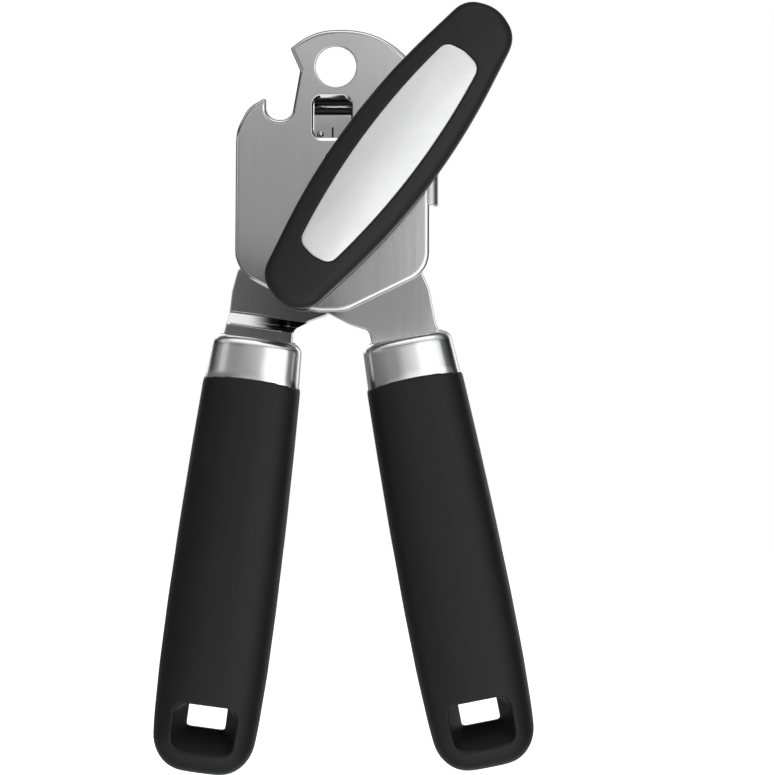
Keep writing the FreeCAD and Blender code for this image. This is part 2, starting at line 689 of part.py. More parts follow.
def place_on_crank(body):
    """Puts a knob piece on the crank's axis at the knob's rest angle."""
    turn = Rotation(Vector(0, 1, 0), -size("knob_tilt"))
    body.Placement = Placement(Vector(CRANK[0], 0, CRANK[1]), turn)


INSERT_FRONT = "Sizes.axle_front"
FLOOR = "Sizes.knob_front + Sizes.knob_face"


def make_knob_shell():
    """Moulded shell: bowed front with a seat for the inlay, hollow behind, with a boss for the insert."""
    body = new_body("knob_shell")
    front_pad(body, "block", shape_of(knob_corners()), "Sizes.knob_front", "Sizes.knob_back")
    round_edges(body, "front_round", "Sizes.knob_edge", at_y(size("knob_front")))
    front_cut(body, "inlay_seat", shape_of(inlay_corners()), "Sizes.knob_front",
              "Sizes.knob_front + Sizes.inlay_wall")
    inner = inset(knob_corners(), size("knob_wall"))
    front_cut(body, "hollow", shape_of(inner), FLOOR, "Sizes.knob_back")
    front_pad(body, "boss", disc((0, 0), "Sizes.knob_boss"), FLOOR, "Sizes.knob_back")
    front_cut(body, "insert_seat", disc((0, 0), "Sizes.insert_radius"), INSERT_FRONT, "Sizes.knob_back")
    front_cut(body, "screw_way", disc((0, 0), "Sizes.screw_shank"), "Sizes.knob_front", INSERT_FRONT)
    front_cut(body, "screw_seat", disc((0, 0), "Sizes.knob_screw_head"), "Sizes.knob_front",
              "Sizes.knob_front + Sizes.inlay_wall + Sizes.knob_screw_rise")
    place_on_crank(body)
    return body


def make_knob_back_cover():
    """Flat cover in the back of the shell."""
    body = new_body("knob_back_cover")
    inner = inset(knob_corners(), size("knob_wall"))
    front_pad(body, "plate", shape_of(inner), "Sizes.knob_back - Sizes.cover_wall", "Sizes.knob_back")
    front_cut(body, "boss_hole", disc((0, 0), "Sizes.knob_boss"), "Sizes.knob_back - Sizes.cover_wall",
              "Sizes.knob_back")
    place_on_crank(body)
    return body


def make_knob_inlay():
    """Steel inlay in the front of the knob."""
    body = new_body("knob_inlay")
    front_pad(body, "plate", shape_of(inlay_corners()), "Sizes.knob_front",
              "Sizes.knob_front + Sizes.inlay_wall")
    place_on_crank(body)
    return body


def make_knob_hub_insert():
    """Metal insert that drives the axle's square end."""
    body = new_body("knob_hub_insert")
    front_pad(body, "drum", disc((0, 0), "Sizes.insert_radius"), INSERT_FRONT, "Sizes.insert_back")
    turned = Rotation(Vector(0, 0, 1), -size("knob_tilt"))
    corners = [turned.multVec(Vector(x, y, 0)) for x, y, _ in square_about((0, 0), size("drive_square") / 2)]
    front_cut(body, "square_hole", shape_of([(spot.x, spot.y, 0.3) for spot in corners]), INSERT_FRONT,
              "Sizes.insert_back")
    place_on_crank(body)
    return body


def make_knob_screw():
    """Screw under the inlay that holds the knob on its axle."""
    body = new_body("knob_screw")
    head_front = "Sizes.knob_front + Sizes.inlay_wall"
    head_rear = head_front + " + Sizes.knob_screw_rise"
    front_pad(body, "head", disc((0, 0), "Sizes.knob_screw_head"), head_front, head_rear)
    front_pad(body, "shank", disc((0, 0), "Sizes.screw_shank"), head_rear, "Sizes.axle_front + 6")
    place_on_crank(body)
    return body


# ---- Handles, modelled about their own axes and then leant outwards ----

def make_ferrule(side):
    """Steel collar with a slot for the lever and a spigot under the grip."""
    body = new_body(side + "_ferrule")
    collar = box_corners(size("ferrule_half"), size("ferrule_depth"), 8.2)
    spigot = box_corners(size("spigot_half"), size("spigot_depth"), 7.5)
    core = box_corners(size("core_half"), size("core_depth"), 4)
    gap = size("slot_gap")
    slot = box_corners(size("shank_half") + gap, size("lever_wall") / 2 + gap, 0.3)
    drum = down_pad(body, "collar", shape_of(collar), "0", "Sizes.ferrule_length")
    drum.setExpression("TaperAngle", "Sizes.ferrule_draft")
    round_edges(body, "shoulder", "Sizes.ferrule_edge",
                lambda edge: abs(edge.BoundBox.ZMin) < 1e-4 and abs(edge.BoundBox.ZMax) < 1e-4)
    down_pad(body, "spigot", shape_of(spigot), "Sizes.ferrule_length", "Sizes.spigot_end")
    down_cut(body, "core_bore", shape_of(core), "Sizes.core_start", "Sizes.spigot_end")
    down_cut(body, "lever_slot", shape_of(slot), "0", "Sizes.core_start")
    body.Placement = handle_placement(side)
    return body


def make_core(side):
    """Hard core inside the grip, slotted for the tang."""
    body = new_body(side + "_core")
    gap = size("slot_gap")
    down_pad(body, "block", shape_of(box_corners(size("core_half"), size("core_depth"), 4)),
             "Sizes.core_start", "Sizes.core_end")
    mouth = box_corners(size("shank_half") + gap, size("lever_wall") / 2 + gap, 0)
    slot = box_corners(size("tang_half") + gap, size("lever_wall") / 2 + gap, 0)
    down_cut(body, "mouth", shape_of(mouth), "Sizes.core_start", "Sizes.tang_start + Sizes.slot_gap")
    down_cut(body, "slot", shape_of(slot), "Sizes.core_start", "Sizes.tang_length + 1")
    front_cut(body, "pin_hole", disc((0, -size("pin_station")), "Sizes.pin_radius"), "-10", "10")
    body.Placement = handle_placement(side)
    return body


def make_tang_pin(side):
    """Cross pin through the core and the tang."""
    body = new_body(side + "_tang_pin")
    front_pad(body, "pin", disc((0, -size("pin_station")), "Sizes.pin_radius"),
              "-Sizes.core_depth", "Sizes.core_depth")
    body.Placement = handle_placement(side)
    return body


GRIP_STATIONS = (
    # station, half width, half depth, corner radius
    (11.9, 13.15, 9.5, 8.6),
    (40.0, 14.1, 10.2, 9.2),
    (70.0, 14.75, 10.6, 9.6),
    (98.0, 14.5, 10.4, 9.4),
    (109.0, 13.9, 9.9, 9.0),
)


def make_grip(side):
    """Soft grip: lofted barrel with a rounded end and a stepped hole near its end."""
    body = new_body(side + "_grip")
    sections = []
    for number, (station, half, depth, radius) in enumerate(GRIP_STATIONS):
        sketch = new_sketch(body, f"section_{number}", "XY_Plane", str(-station))
        outline(sketch, box_corners(half, depth, radius))
        sections.append(sketch)
    loft = body.newObject("PartDesign::AdditiveLoft", "barrel")
    loft.Profile = sections[0]
    loft.Sections = sections[1:]
    body.Tip = loft
    station, half, depth, radius = GRIP_STATIONS[-1]
    down_pad(body, "end", shape_of(box_corners(half, depth, radius)), str(station), "Sizes.grip_end")
    end = -size("grip_end")
    round_edges(body, "end_round", "Sizes.grip_round",
                lambda edge: abs(edge.BoundBox.ZMin - end) < 1e-4 and abs(edge.BoundBox.ZMax - end) < 1e-4)
    down_cut(body, "ferrule_seat", shape_of(box_corners(size("spigot_half"), size("spigot_depth"), 7.5)),
             "0", "Sizes.spigot_end")
    down_cut(body, "core_bore", shape_of(box_corners(size("core_half"), size("core_depth"), 4)),
             "0", "Sizes.core_end")
    station = size("hole_station")
    throat = box_corners(size("throat_half"), size("throat_rise"), 0.5, size("throat_shift") - station)
    front_cut(body, "throat", shape_of(throat), "-Sizes.hole_level - 5", "Sizes.hole_level + 5")
    mouth = box_corners(size("hole_half"), size("hole_rise"), 4.0, -station)
    for name, sign in (("front_recess", ""), ("rear_recess", "-")):
        outer = new_sketch(body, name + "_mouth", "XZ_Plane", f"{sign}Sizes.hole_level")
        outline(outer, mouth)
        inner = new_sketch(body, name + "_throat", "XZ_Plane", f"{sign}Sizes.throat_level")
        outline(inner, throat)
        before = body.Tip
        recess = body.newObject("PartDesign::SubtractiveLoft", name)
        recess.Profile = outer
        recess.Sections = [inner]
        recess.Ruled = True
        body.Tip = recess
        CUTS.append((before, recess))
    body.Placement = handle_placement(side)
    return body


def make_parts():
    """Builds every sub-part and returns them."""
    parts = [make_head_plate(), make_left_lever(), make_head_rivets(), make_rivet_spacers(),
             make_cutter_stud(), make_cutter_spring_washer(), make_cutter_screw(),
             make_cutting_wheel(), make_cutter_bush(), make_right_lever(), make_eccentric_bushing(),
             make_crank_axle(), make_feed_wheel(),
             make_washer("front_thrust_washer", "Sizes.insert_back",
                         "Sizes.bushing_front - Sizes.running_gap"),
             make_washer("rear_thrust_washer", "Sizes.bushing_rear + Sizes.running_gap", WHEEL_FRONT),
             make_knob_shell(), make_knob_back_cover(), make_knob_inlay(), make_knob_hub_insert(),
             make_knob_screw()]
    for side in ("left", "right"):
        parts += [make_ferrule(side), make_grip(side), make_core(side), make_tang_pin(side)]
    return parts


def check(parts):
    """Stops on any failed feature, any cut that took nothing away and any invalid shape."""
    for item in doc.Objects:
        if "Invalid" in item.State or "Error" in item.State:
            raise RuntimeError(f"{item.Name} failed: {item.State}")
    for before, cut in CUTS:
        if cut.Shape.Volume > before.Shape.Volume - 0.01:
            raise RuntimeError(f"{cut.Name} took nothing away")
    for part in parts:
        if part.Shape.isNull() or not part.Shape.isValid() or part.Shape.Volume <= 0:
            raise RuntimeError(f"{part.Label} has no valid shape")


PARTS = make_parts()
doc.recompute()
check(PARTS)
os.makedirs("parts", exist_ok=True)
for part in PARTS:
    part.Shape.exportStep(f"parts/{part.Label}.step")
    print(f"{part.Label}: {part.Shape.Volume:.1f} mm3, {len(part.Shape.Solids)} solid(s)")
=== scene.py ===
import json
import math

import bmesh
import bpy
from mathutils import Matrix, Vector


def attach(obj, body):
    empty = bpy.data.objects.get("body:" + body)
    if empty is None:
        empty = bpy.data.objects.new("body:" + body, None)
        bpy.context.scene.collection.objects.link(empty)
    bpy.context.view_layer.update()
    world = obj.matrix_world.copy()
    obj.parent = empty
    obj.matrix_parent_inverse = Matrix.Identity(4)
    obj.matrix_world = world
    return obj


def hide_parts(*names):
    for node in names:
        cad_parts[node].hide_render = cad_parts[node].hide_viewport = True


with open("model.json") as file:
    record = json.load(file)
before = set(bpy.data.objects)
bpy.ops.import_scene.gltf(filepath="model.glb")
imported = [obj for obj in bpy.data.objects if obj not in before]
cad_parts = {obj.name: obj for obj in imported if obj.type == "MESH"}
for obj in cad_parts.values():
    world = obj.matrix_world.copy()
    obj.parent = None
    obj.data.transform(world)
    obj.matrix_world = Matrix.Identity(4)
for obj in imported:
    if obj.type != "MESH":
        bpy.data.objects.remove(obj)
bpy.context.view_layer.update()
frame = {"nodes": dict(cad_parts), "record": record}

# Manual can opener, upright in the XZ plane with its knob towards -Y. Lengths below are in
# millimetres and become metres in MM. Places come from the CAD frame wherever it states them.

MM = 0.001

JOINTS = {joint["name"]: joint for joint in frame["record"]["behaviour"]["joints"]}


def joint_xz(name):
    """X and Z of a joint's axis, in millimetres."""
    x, _, z = JOINTS[name]["pos_m"]
    return x / MM, z / MM


PIVOT = joint_xz("handle_pivot")
CRANK = joint_xz("crank_turn")
CUTTER = joint_xz("cutter_spin")
KNOB_TILT = 53.2

SHEET = 1.2
PLATE_FRONT = -SHEET / 2
LEVER_SHEET = 2.0
RIGHT_FRONT = 1.8
REAR_FRONT = 4.0
HANDLE_MID = 2.8

HANDLES = {
    # side: X and Z of the ferrule's top, lean in degrees, body
    "left": (-21.13, -73.4, 7.7, "cutter_lever"),
    "right": (18.9, -73.0, -11.1, "feed_lever"),
}


# ---- Mesh helpers ----

def put(name, data):
    """A new object in the scene."""
    obj = bpy.data.objects.new(name, data)
    bpy.context.scene.collection.objects.link(obj)
    return obj


def new_object(name, verts, faces):
    """A smooth-shaded mesh object from points in millimetres."""
    mesh = bpy.data.meshes.new(name)
    mesh.from_pydata([tuple(c * MM for c in v) for v in verts], [], faces)
    mesh.validate()
    obj = put(name, mesh)
    bm = bmesh.new()
    bm.from_mesh(mesh)
    bmesh.ops.remove_doubles(bm, verts=bm.verts, dist=1e-6)
    bmesh.ops.recalc_face_normals(bm, faces=bm.faces)
    bm.to_mesh(mesh)
    bm.free()
    for polygon in mesh.polygons:
        polygon.use_smooth = True
    return obj


def apply_modifiers(obj):
    """Bakes the modifiers into the mesh."""
    graph = bpy.context.evaluated_depsgraph_get()
    mesh = bpy.data.meshes.new_from_object(obj.evaluated_get(graph), depsgraph=graph)
    obj.modifiers.clear()
    obj.data = mesh
    return obj


def smooth_by_angle(obj, degrees=35):
    """Smooth shading that stays crisp at sharp edges, with normals weighted by face area."""
    mesh = obj.data
    bm = bmesh.new()
    bm.from_mesh(mesh)
    limit = math.radians(degrees)
    for face in bm.faces:
        face.smooth = True
    for edge in bm.edges:
        edge.smooth = len(edge.link_faces) == 2 and edge.calc_face_angle(0) < limit
    bm.to_mesh(mesh)
    bm.free()
    weighted = obj.modifiers.new("weighted", "WEIGHTED_NORMAL")
    weighted.keep_sharp = True
    weighted.weight = 80
    return apply_modifiers(obj)


def subdivide(obj, levels=2):
    """A Catmull-Clark subdivision, applied."""
    modifier = obj.modifiers.new("subsurf", "SUBSURF")
    modifier.levels = levels
    modifier.render_levels = levels
    return apply_modifiers(obj)


def finish_piece(obj, body, slot, material, *nodes):
    """Material, body and the CAD nodes that a piece stands for. The slot argument is not used."""
    obj.data.materials.clear()
    obj.data.materials.append(material)
    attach(obj, body)
    if nodes:
        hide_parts(*nodes)
    return obj


# ---- Rounded outlines ----

ARC_STEPS = 14


def inset_corners(corners, distance):
    """Corners of a clockwise outline moved inwards, with their rounds kept parallel."""
    moved = []
    count = len(corners)
    for index, (x, y, radius) in enumerate(corners):
        corner = Vector((x, y))
        incoming = (corner - Vector(corners[index - 1][:2])).normalized()
        outgoing = (Vector(corners[(index + 1) % count][:2]) - corner).normalized()
        inward_in = Vector((incoming.y, -incoming.x))
        inward_out = Vector((outgoing.y, -outgoing.x))
        bisector = (inward_in + inward_out).normalized()
        spot = corner + bisector * (distance / bisector.dot(inward_in))
        convex = incoming.x * outgoing.y - incoming.y * outgoing.x < 0
        moved.append((spot.x, spot.y, max(radius - distance, 0) if convex else radius + distance))
    return moved


def sample(corners, steps=ARC_STEPS):
    """Points round an outline, with the same number at every corner whatever its radius."""
    points = []
    count = len(corners)
    for index, (x, y, radius) in enumerate(corners):
        corner = Vector((x, y))
        back = (Vector(corners[index - 1][:2]) - corner).normalized()
        ahead = (Vector(corners[(index + 1) % count][:2]) - corner).normalized()
        half = back.angle(ahead) / 2
        if radius < 1e-6 or abs(half - math.pi / 2) < 1e-4:
            points += [corner.copy() for _ in range(steps + 1)]
            continue
        centre = corner + (back + ahead).normalized() * (radius / math.sin(half))
        start = corner + back * (radius / math.tan(half)) - centre
        end = corner + ahead * (radius / math.tan(half)) - centre
        sweep = start.angle_signed(end)
        for step in range(steps + 1):
            points.append(centre + Matrix.Rotation(-sweep * step / steps, 2) @ start)
    return points


def box_corners(half_x, half_y, radius, centre=(0, 0)):
    """A clockwise rounded rectangle."""
    x, y = centre
    return [(x - half_x, y + half_y, radius), (x + half_x, y + half_y, radius),
            (x + half_x, y - half_y, radius), (x - half_x, y - half_y, radius)]


def groove(start, end, width):
    """A thin clockwise strip between two points."""
    start, end = Vector(start), Vector(end)
    side = (end - start).normalized() * width / 2
    side = Vector((-side.y, side.x))
    return [(*(start + side), 0), (*(end + side), 0), (*(end - side), 0), (*(start - side), 0)]


def circle_corners(centre, radius):
    """A circle as four rounded corners."""
    return box_corners(radius * 1.0001, radius * 1.0001, radius, centre)


def edge_profile(front, rear, front_round, rear_round, steps=5):
    """(inset, Y) from the flat of the front face, over both edges, to the flat of the rear face."""
    rings = [(front_round * 1.35 + 0.12, front)]
    for step in range(steps + 1):
        angle = math.pi / 2 * step / steps
        rings.append((front_round * (1 - math.sin(angle)), front + front_round * (1 - math.cos(angle))))
    for step in range(steps + 1):
        angle = math.pi / 2 * step / steps
        rings.append((rear_round * (1 - math.cos(angle)), rear - rear_round * (1 - math.sin(angle))))
    rings.append((rear_round * 1.35 + 0.12, rear))
    return rings


def sheet_piece(name, outer, holes, profile):
    """Sheet metal with rounded edges: rings round each outline, then flat front and rear faces.

    A profile is a list of (inset, Y). A hole is (corners, profile), with an optional way of growing its
    corners by an inset. A hole whose profile stops inside the sheet is closed there."""
    bm = bmesh.new()

    def wall(corners, rings, outward, grow=inset_corners):
        loops = []
        for distance, y in rings:
            moved = grow(corners, distance if outward else -distance)
            loops.append([bm.verts.new((p.x * MM, y * MM, p.y * MM)) for p in sample(moved)])
        count = len(loops[0])
        for near, far in zip(loops, loops[1:]):
            for index in range(count):
                following = (index + 1) % count
                quad = (near[index], near[following], far[following], far[index])
                if outward:
                    quad = quad[::-1]
                bm.faces.new(quad)

    wall(outer, profile, True)
    for hole in holes:
        wall(hole[0], hole[1], False, *hole[2:])
    bmesh.ops.remove_doubles(bm, verts=bm.verts, dist=2e-6)
    bmesh.ops.dissolve_degenerate(bm, edges=bm.edges, dist=1e-6)
    open_edges = [edge for edge in bm.edges if edge.is_boundary]
    levels = {}
    for edge in open_edges:
        levels.setdefault(round(edge.verts[0].co.y / MM, 3), []).append(edge)
    for edges in levels.values():
        bmesh.ops.triangle_fill(bm, edges=edges, use_beauty=True, use_dissolve=False)
    bmesh.ops.recalc_face_normals(bm, faces=bm.faces)
    mesh = bpy.data.meshes.new(name)
    bm.to_mesh(mesh)
    bm.free()
    return put(name, mesh)


def band(near, far, count):
    """Quads between two rings of vertices, each given by the index that it starts at."""
    return [(near + i, near + (i + 1) % count, far + (i + 1) % count, far + i) for i in range(count)]


def stack_rings(name, rings, cap_first=True, cap_last=True):
    """A skin over rings of points, each ring with the same count."""
    count = len(rings[0])
    verts = [point for ring in rings for point in ring]
    faces = []
    for level in range(len(rings) - 1):
        faces += band(level * count, (level + 1) * count, count)
    if cap_first:
        faces.append(tuple(range(count)))
    if cap_last:
        faces.append(tuple(range((len(rings) - 1) * count, len(rings) * count)))
    return new_object(name, verts, faces)


def lathe(name, profile, centre, steps=72):
    """Turns a closed (radius, Y) profile about the Y direction."""
    verts = []
    faces = []
    count = len(profile)
    for step in range(steps):
        angle = 2 * math.pi * step / steps
        for radius, y in profile:
            verts.append((centre[0] + radius * math.cos(angle), y, centre[1] + radius * math.sin(angle)))
    for step in range(steps):
        faces += band(step * count, (step + 1) % steps * count, count)
    return new_object(name, verts, faces)


def bevel(obj, width, segments=3, angle=30):
    """Rounds the sharp edges of a mesh."""
    modifier = obj.modifiers.new("bevel", "BEVEL")
    modifier.width = width * MM
    modifier.segments = segments
    modifier.limit_method = "ANGLE"
    modifier.angle_limit = math.radians(angle)
    modifier.use_clamp_overlap = True
    return apply_modifiers(obj)


def handle_matrix(side):
    """From a handle's own frame (X across, Y to the rear, Z up its axis, from the ferrule's top)."""
    x, z, lean, _ = HANDLES[side]
    place = Matrix.Translation(Vector((x * MM, HANDLE_MID * MM, z * MM)))
    return place @ Matrix.Rotation(math.radians(lean), 4, "Y")


def handle_point(side, across, along):
    """X and Z of a point of a handle: across its axis and down from the ferrule's top."""
    spot = handle_matrix(side) @ Vector((across * MM, 0, -along * MM))
    return spot.x / MM, spot.z / MM


# ---- Materials ----

def fill_ramp(node, stops):
    """Sets a colour ramp from (position, value or colour) stops."""
    elements = node.color_ramp.elements
    while len(elements) < len(stops):
        elements.new(0.5)
    for element, (position, value) in zip(elements, stops):
        element.position = position
        colour = value if isinstance(value, tuple) else (value,) * 3
        element.color = (*colour, 1)


class Nodes:
    """Short calls for building the node tree of a material, or of a new one with a given name."""

    def __init__(self, material):
        if isinstance(material, str):
            material = bpy.data.materials.new(material)
            material.use_nodes = True
        self.material = material
        self.tree = material.node_tree
        self.shader = self.tree.nodes["Principled BSDF"]
        self.place = self.add("ShaderNodeTexCoord").outputs["Object"]

    def add(self, kind, **values):
        node = self.tree.nodes.new(kind)
        for key, value in values.items():
            if hasattr(node, key):
                setattr(node, key, value)
            else:
                node.inputs[key].default_value = value
        return node

    def link(self, source, target):
        self.tree.links.new(source, target)

    def stretched(self, scale, rotation=(0, 0, 0)):
        """Object coordinates turned and scaled, for grain with a direction."""
        mapping = self.add("ShaderNodeMapping")
        mapping.inputs["Rotation"].default_value = rotation
        mapping.inputs["Scale"].default_value = scale
        self.link(self.place, mapping.inputs["Vector"])
        return mapping.outputs["Vector"]

    def noise(self, scale, detail=4.0, roughness=0.55, vector=None, distortion=0.0):
        node = self.add("ShaderNodeTexNoise")
        node.inputs["Scale"].default_value = scale
        node.inputs["Detail"].default_value = detail
        node.inputs["Roughness"].default_value = roughness
        node.inputs["Distortion"].default_value = distortion
        self.link(vector or self.place, node.inputs["Vector"])
        return node.outputs["Fac"]

    def ramp(self, source, stops):
        """Colour ramp of a value."""
        node = self.add("ShaderNodeValToRGB")
        fill_ramp(node, stops)
        self.link(source, node.inputs["Fac"])
        return node.outputs["Color"]

    def mix(self, factor, first, second, blend="MIX"):
        """Mixes two colours. Each may be a socket or a colour."""
        node = self.add("ShaderNodeMix")
        node.data_type = "RGBA"
        node.blend_type = blend
        for key, value in (("Factor", factor), ("A", first), ("B", second)):
            socket = next(s for s in node.inputs if s.name == key and s.type in
                          (("VALUE",) if key == "Factor" else ("RGBA",)))
            if isinstance(value, (int, float)):
                socket.default_value = value
            elif isinstance(value, tuple):
                socket.default_value = (*value, 1)
            else:
                self.link(value, socket)
        return next(s for s in node.outputs if s.type == "RGBA")

    def bump(self, height, strength, distance, normal=None):
        node = self.add("ShaderNodeBump")
        node.inputs["Strength"].default_value = strength
        node.inputs["Distance"].default_value = distance
        self.link(height, node.inputs["Height"])
        if normal:
            self.link(normal, node.inputs["Normal"])
        return node.outputs["Normal"]

    def wire(self, **sockets):
        """Links or sets the shader's sockets."""
        for key, value in sockets.items():
            socket = self.shader.inputs[key.replace("_", " ")]
            if hasattr(value, "is_output"):
                self.link(value, socket)
            else:
                socket.default_value = value
        return self.material


def steel(name, colour, dark, roughness, grain=(1, 1, 1), turn=(0, 0, 0), grain_bump=0.05, blotch=0.04):
    """Stainless steel: directional grain, faint smudges and fine scratches."""
    nodes = Nodes(name)
    streaks = nodes.noise(900, 6, 0.6, nodes.stretched(grain, turn))
    smudge = nodes.noise(55, 5, 0.6, None, 0.6)
    fine = nodes.noise(2600, 2, 0.5)
    tone = nodes.mix(nodes.ramp(smudge, ((0.35, 0.0), (0.75, 1.0))), colour, dark)
    low, high = roughness
    rough = nodes.ramp(nodes.mix(0.45, nodes.ramp(streaks, ((0.3, 0.0), (0.7, 1.0))),
                                 nodes.ramp(smudge, ((0.3, 0.0), (0.8, 1.0)))),
                       ((0.0, low), (1.0, high)))
    normal = nodes.bump(streaks, grain_bump, 0.00006)
    normal = nodes.bump(fine, blotch, 0.00003, normal)
    return nodes.wire(Base_Color=tone, Metallic=1.0, Roughness=rough, Normal=normal)


# Painted shade: the near-black that the patch function below paints where dark reflections and shade fall.
PAINTED_SHADE_TONE = (0.03, 0.03, 0.03)
PATCH_EDGE_X = 0.1
PATCH_EDGE_Z = 0.25
LINE_HALF = 0.16
LINE_EDGE = 0.12
LINE_WAVE = 0.9


def paint_shade_patch(material, x, z, line=None, slope=0.0, soft=PATCH_EDGE_X):
    """Painted shade: darkens what faces forward inside a box of X and Z, apart from one thin wavy line across
    it, to stand in for the dark reflections and shade there. The box's Z limits fall with X by the slope, and
    its left side fades over the soft width."""
    nodes = Nodes(material)
    split = nodes.add("ShaderNodeSeparateXYZ")
    nodes.link(nodes.place, split.inputs["Vector"])

    def between(socket, start, end, edge, first_edge):
        rise = nodes.add("ShaderNodeMapRange", interpolation_type="SMOOTHSTEP")
        fall = nodes.add("ShaderNodeMapRange", interpolation_type="SMOOTHSTEP")
        for ramp, near, far in ((rise, start, start + first_edge), (fall, end, end - edge)):
            ramp.inputs["From Min"].default_value = near * MM
            ramp.inputs["From Max"].default_value = far * MM
            nodes.link(socket, ramp.inputs["Value"])
        return nodes.mix(1.0, rise.outputs["Result"], fall.outputs["Result"], "MULTIPLY")

    def plus_share(base, source, share):
        total = nodes.add("ShaderNodeMath", operation="MULTIPLY_ADD")
        total.inputs[1].default_value = share
        nodes.link(source, total.inputs[0])
        nodes.link(base, total.inputs[2])
        return total.outputs["Value"]

    facing = nodes.add("ShaderNodeSeparateXYZ")
    nodes.link(nodes.add("ShaderNodeNewGeometry").outputs["Normal"], facing.inputs["Vector"])
    frontal = nodes.add("ShaderNodeMapRange")
    frontal.inputs["From Min"].default_value = -0.05
    frontal.inputs["From Max"].default_value = -0.20
    nodes.link(facing.outputs["Y"], frontal.inputs["Value"])
    level = plus_share(split.outputs["Z"], split.outputs["X"], slope)
    dark = nodes.mix(1.0, between(level, *z, PATCH_EDGE_Z, PATCH_EDGE_Z),
                     between(split.outputs["X"], *x, PATCH_EDGE_X, soft), "MULTIPLY")
    dark = nodes.mix(1.0, dark, frontal.outputs["Result"], "MULTIPLY")
    if line is not None:
        wavy = nodes.noise(420, 2, 0.5, nodes.stretched((1, 0, 0)))
        height = plus_share(level, wavy, LINE_WAVE * MM)
        bright = between(height, line - LINE_HALF, line + LINE_HALF, LINE_EDGE, LINE_EDGE)
        dark = nodes.mix(bright, dark, (0, 0, 0))
    # Painted shade: the mask blends the base colour towards the near-black shade tone.
    base = nodes.shader.inputs["Base Color"].links[0].from_socket
    return nodes.wire(Base_Color=nodes.mix(dark, base, PAINTED_SHADE_TONE))


def rubber(name, colour, worn, roughness, gloss):
    """Soft-touch black: fine moulded texture, dust and handling marks."""
    nodes = Nodes(name)
    pores = nodes.noise(5200, 3, 0.65)
    cloud = nodes.noise(38, 5, 0.6, None, 0.4)
    speck = nodes.noise(1500, 2, 0.4)
    tone = nodes.mix(nodes.ramp(cloud, ((0.35, 0.0), (0.8, 1.0))), colour, worn)
    dust = nodes.ramp(speck, ((0.72, 0.0), (0.80, 0.35)))
    tone = nodes.mix(dust, tone, tuple(c * 2.2 for c in worn))
    low, high = roughness
    rough = nodes.ramp(cloud, ((0.25, low), (0.75, high)))
    normal = nodes.bump(pores, 0.35, 0.00005)
    normal = nodes.bump(nodes.noise(420, 3, 0.5), 0.06, 0.0002, normal)
    return nodes.wire(Base_Color=tone, Roughness=rough, Normal=normal, Specular_IOR_Level=gloss)


PLATE_STEEL = steel("polished_plate", (0.60, 0.60, 0.605), (0.55, 0.55, 0.555), (0.10, 0.16),
                    (1, 1, 0.04))
GUIDE_STEEL = steel("folded_guide", (0.56, 0.56, 0.565), (0.50, 0.50, 0.505), (0.30, 0.40),
                    (1, 1, 0.04))
LEVER_STEEL = steel("polished_lever", (0.60, 0.60, 0.605), (0.56, 0.56, 0.565), (0.05, 0.09),
                    (1, 1, 0.04), grain_bump=0.03, blotch=0.02)
# Painted shade: the left lever's rim-rest tab, its slit and the right half of its joggle get dark patches
# painted on where they lie in shade and mirror dark surroundings.
REAR_LEVER_STEEL = steel("rear_lever", (0.60, 0.60, 0.605), (0.56, 0.56, 0.565), (0.05, 0.09),
                         (1, 1, 0.04), grain_bump=0.03, blotch=0.02)
paint_shade_patch(REAR_LEVER_STEEL, x=(-7.0, 5.0), z=(-12.75, 0.0), line=-9.9)
paint_shade_patch(REAR_LEVER_STEEL, x=(-1.24, -0.66), z=(-20.6, -15.8))
paint_shade_patch(REAR_LEVER_STEEL, x=(-23.0, -5.0), z=(-73.5, -69.9), line=-71.4, slope=0.135, soft=6.0)
FERRULE_STEEL = steel("satin_ferrule", (0.74, 0.74, 0.745), (0.70, 0.70, 0.705), (0.22, 0.26),
                      (0.03, 0.03, 1), grain_bump=0.015, blotch=0.01)
INLAY_STEEL = steel("satin_inlay", (0.86, 0.86, 0.865), (0.80, 0.80, 0.805), (0.56, 0.64),
                    (0.03, 1, 1), (0, math.radians(KNOB_TILT), 0), grain_bump=0.10)
CUTTING_STEEL = steel("ground_steel", (0.62, 0.62, 0.63), (0.50, 0.50, 0.51), (0.16, 0.28),
                      (1, 0.05, 1), grain_bump=0.10)
TURNED_STEEL = steel("turned_steel", (0.50, 0.50, 0.51), (0.38, 0.38, 0.39), (0.22, 0.34),
                     (1, 1, 1), grain_bump=0.12)
BRIGHT_STEEL = steel("bright_fastener", (0.74, 0.74, 0.745), (0.66, 0.66, 0.665), (0.12, 0.2))
BRONZE = steel("sintered_bronze", (0.55, 0.36, 0.16), (0.40, 0.26, 0.12), (0.30, 0.45), blotch=0.2)
GRIP_RUBBER = rubber("soft_touch_grip", (0.0055, 0.0055, 0.0057), (0.0075, 0.0075, 0.0078),
                     (0.48, 0.56), 0.30)
KNOB_PLASTIC = rubber("satin_knob", (0.012, 0.012, 0.0125), (0.015, 0.015, 0.0155), (0.42, 0.50), 0.24)
CORE_PLASTIC = rubber("nylon_core", (0.018, 0.018, 0.019), (0.024, 0.024, 0.025), (0.45, 0.6), 0.4)


# ---- Head plate ----

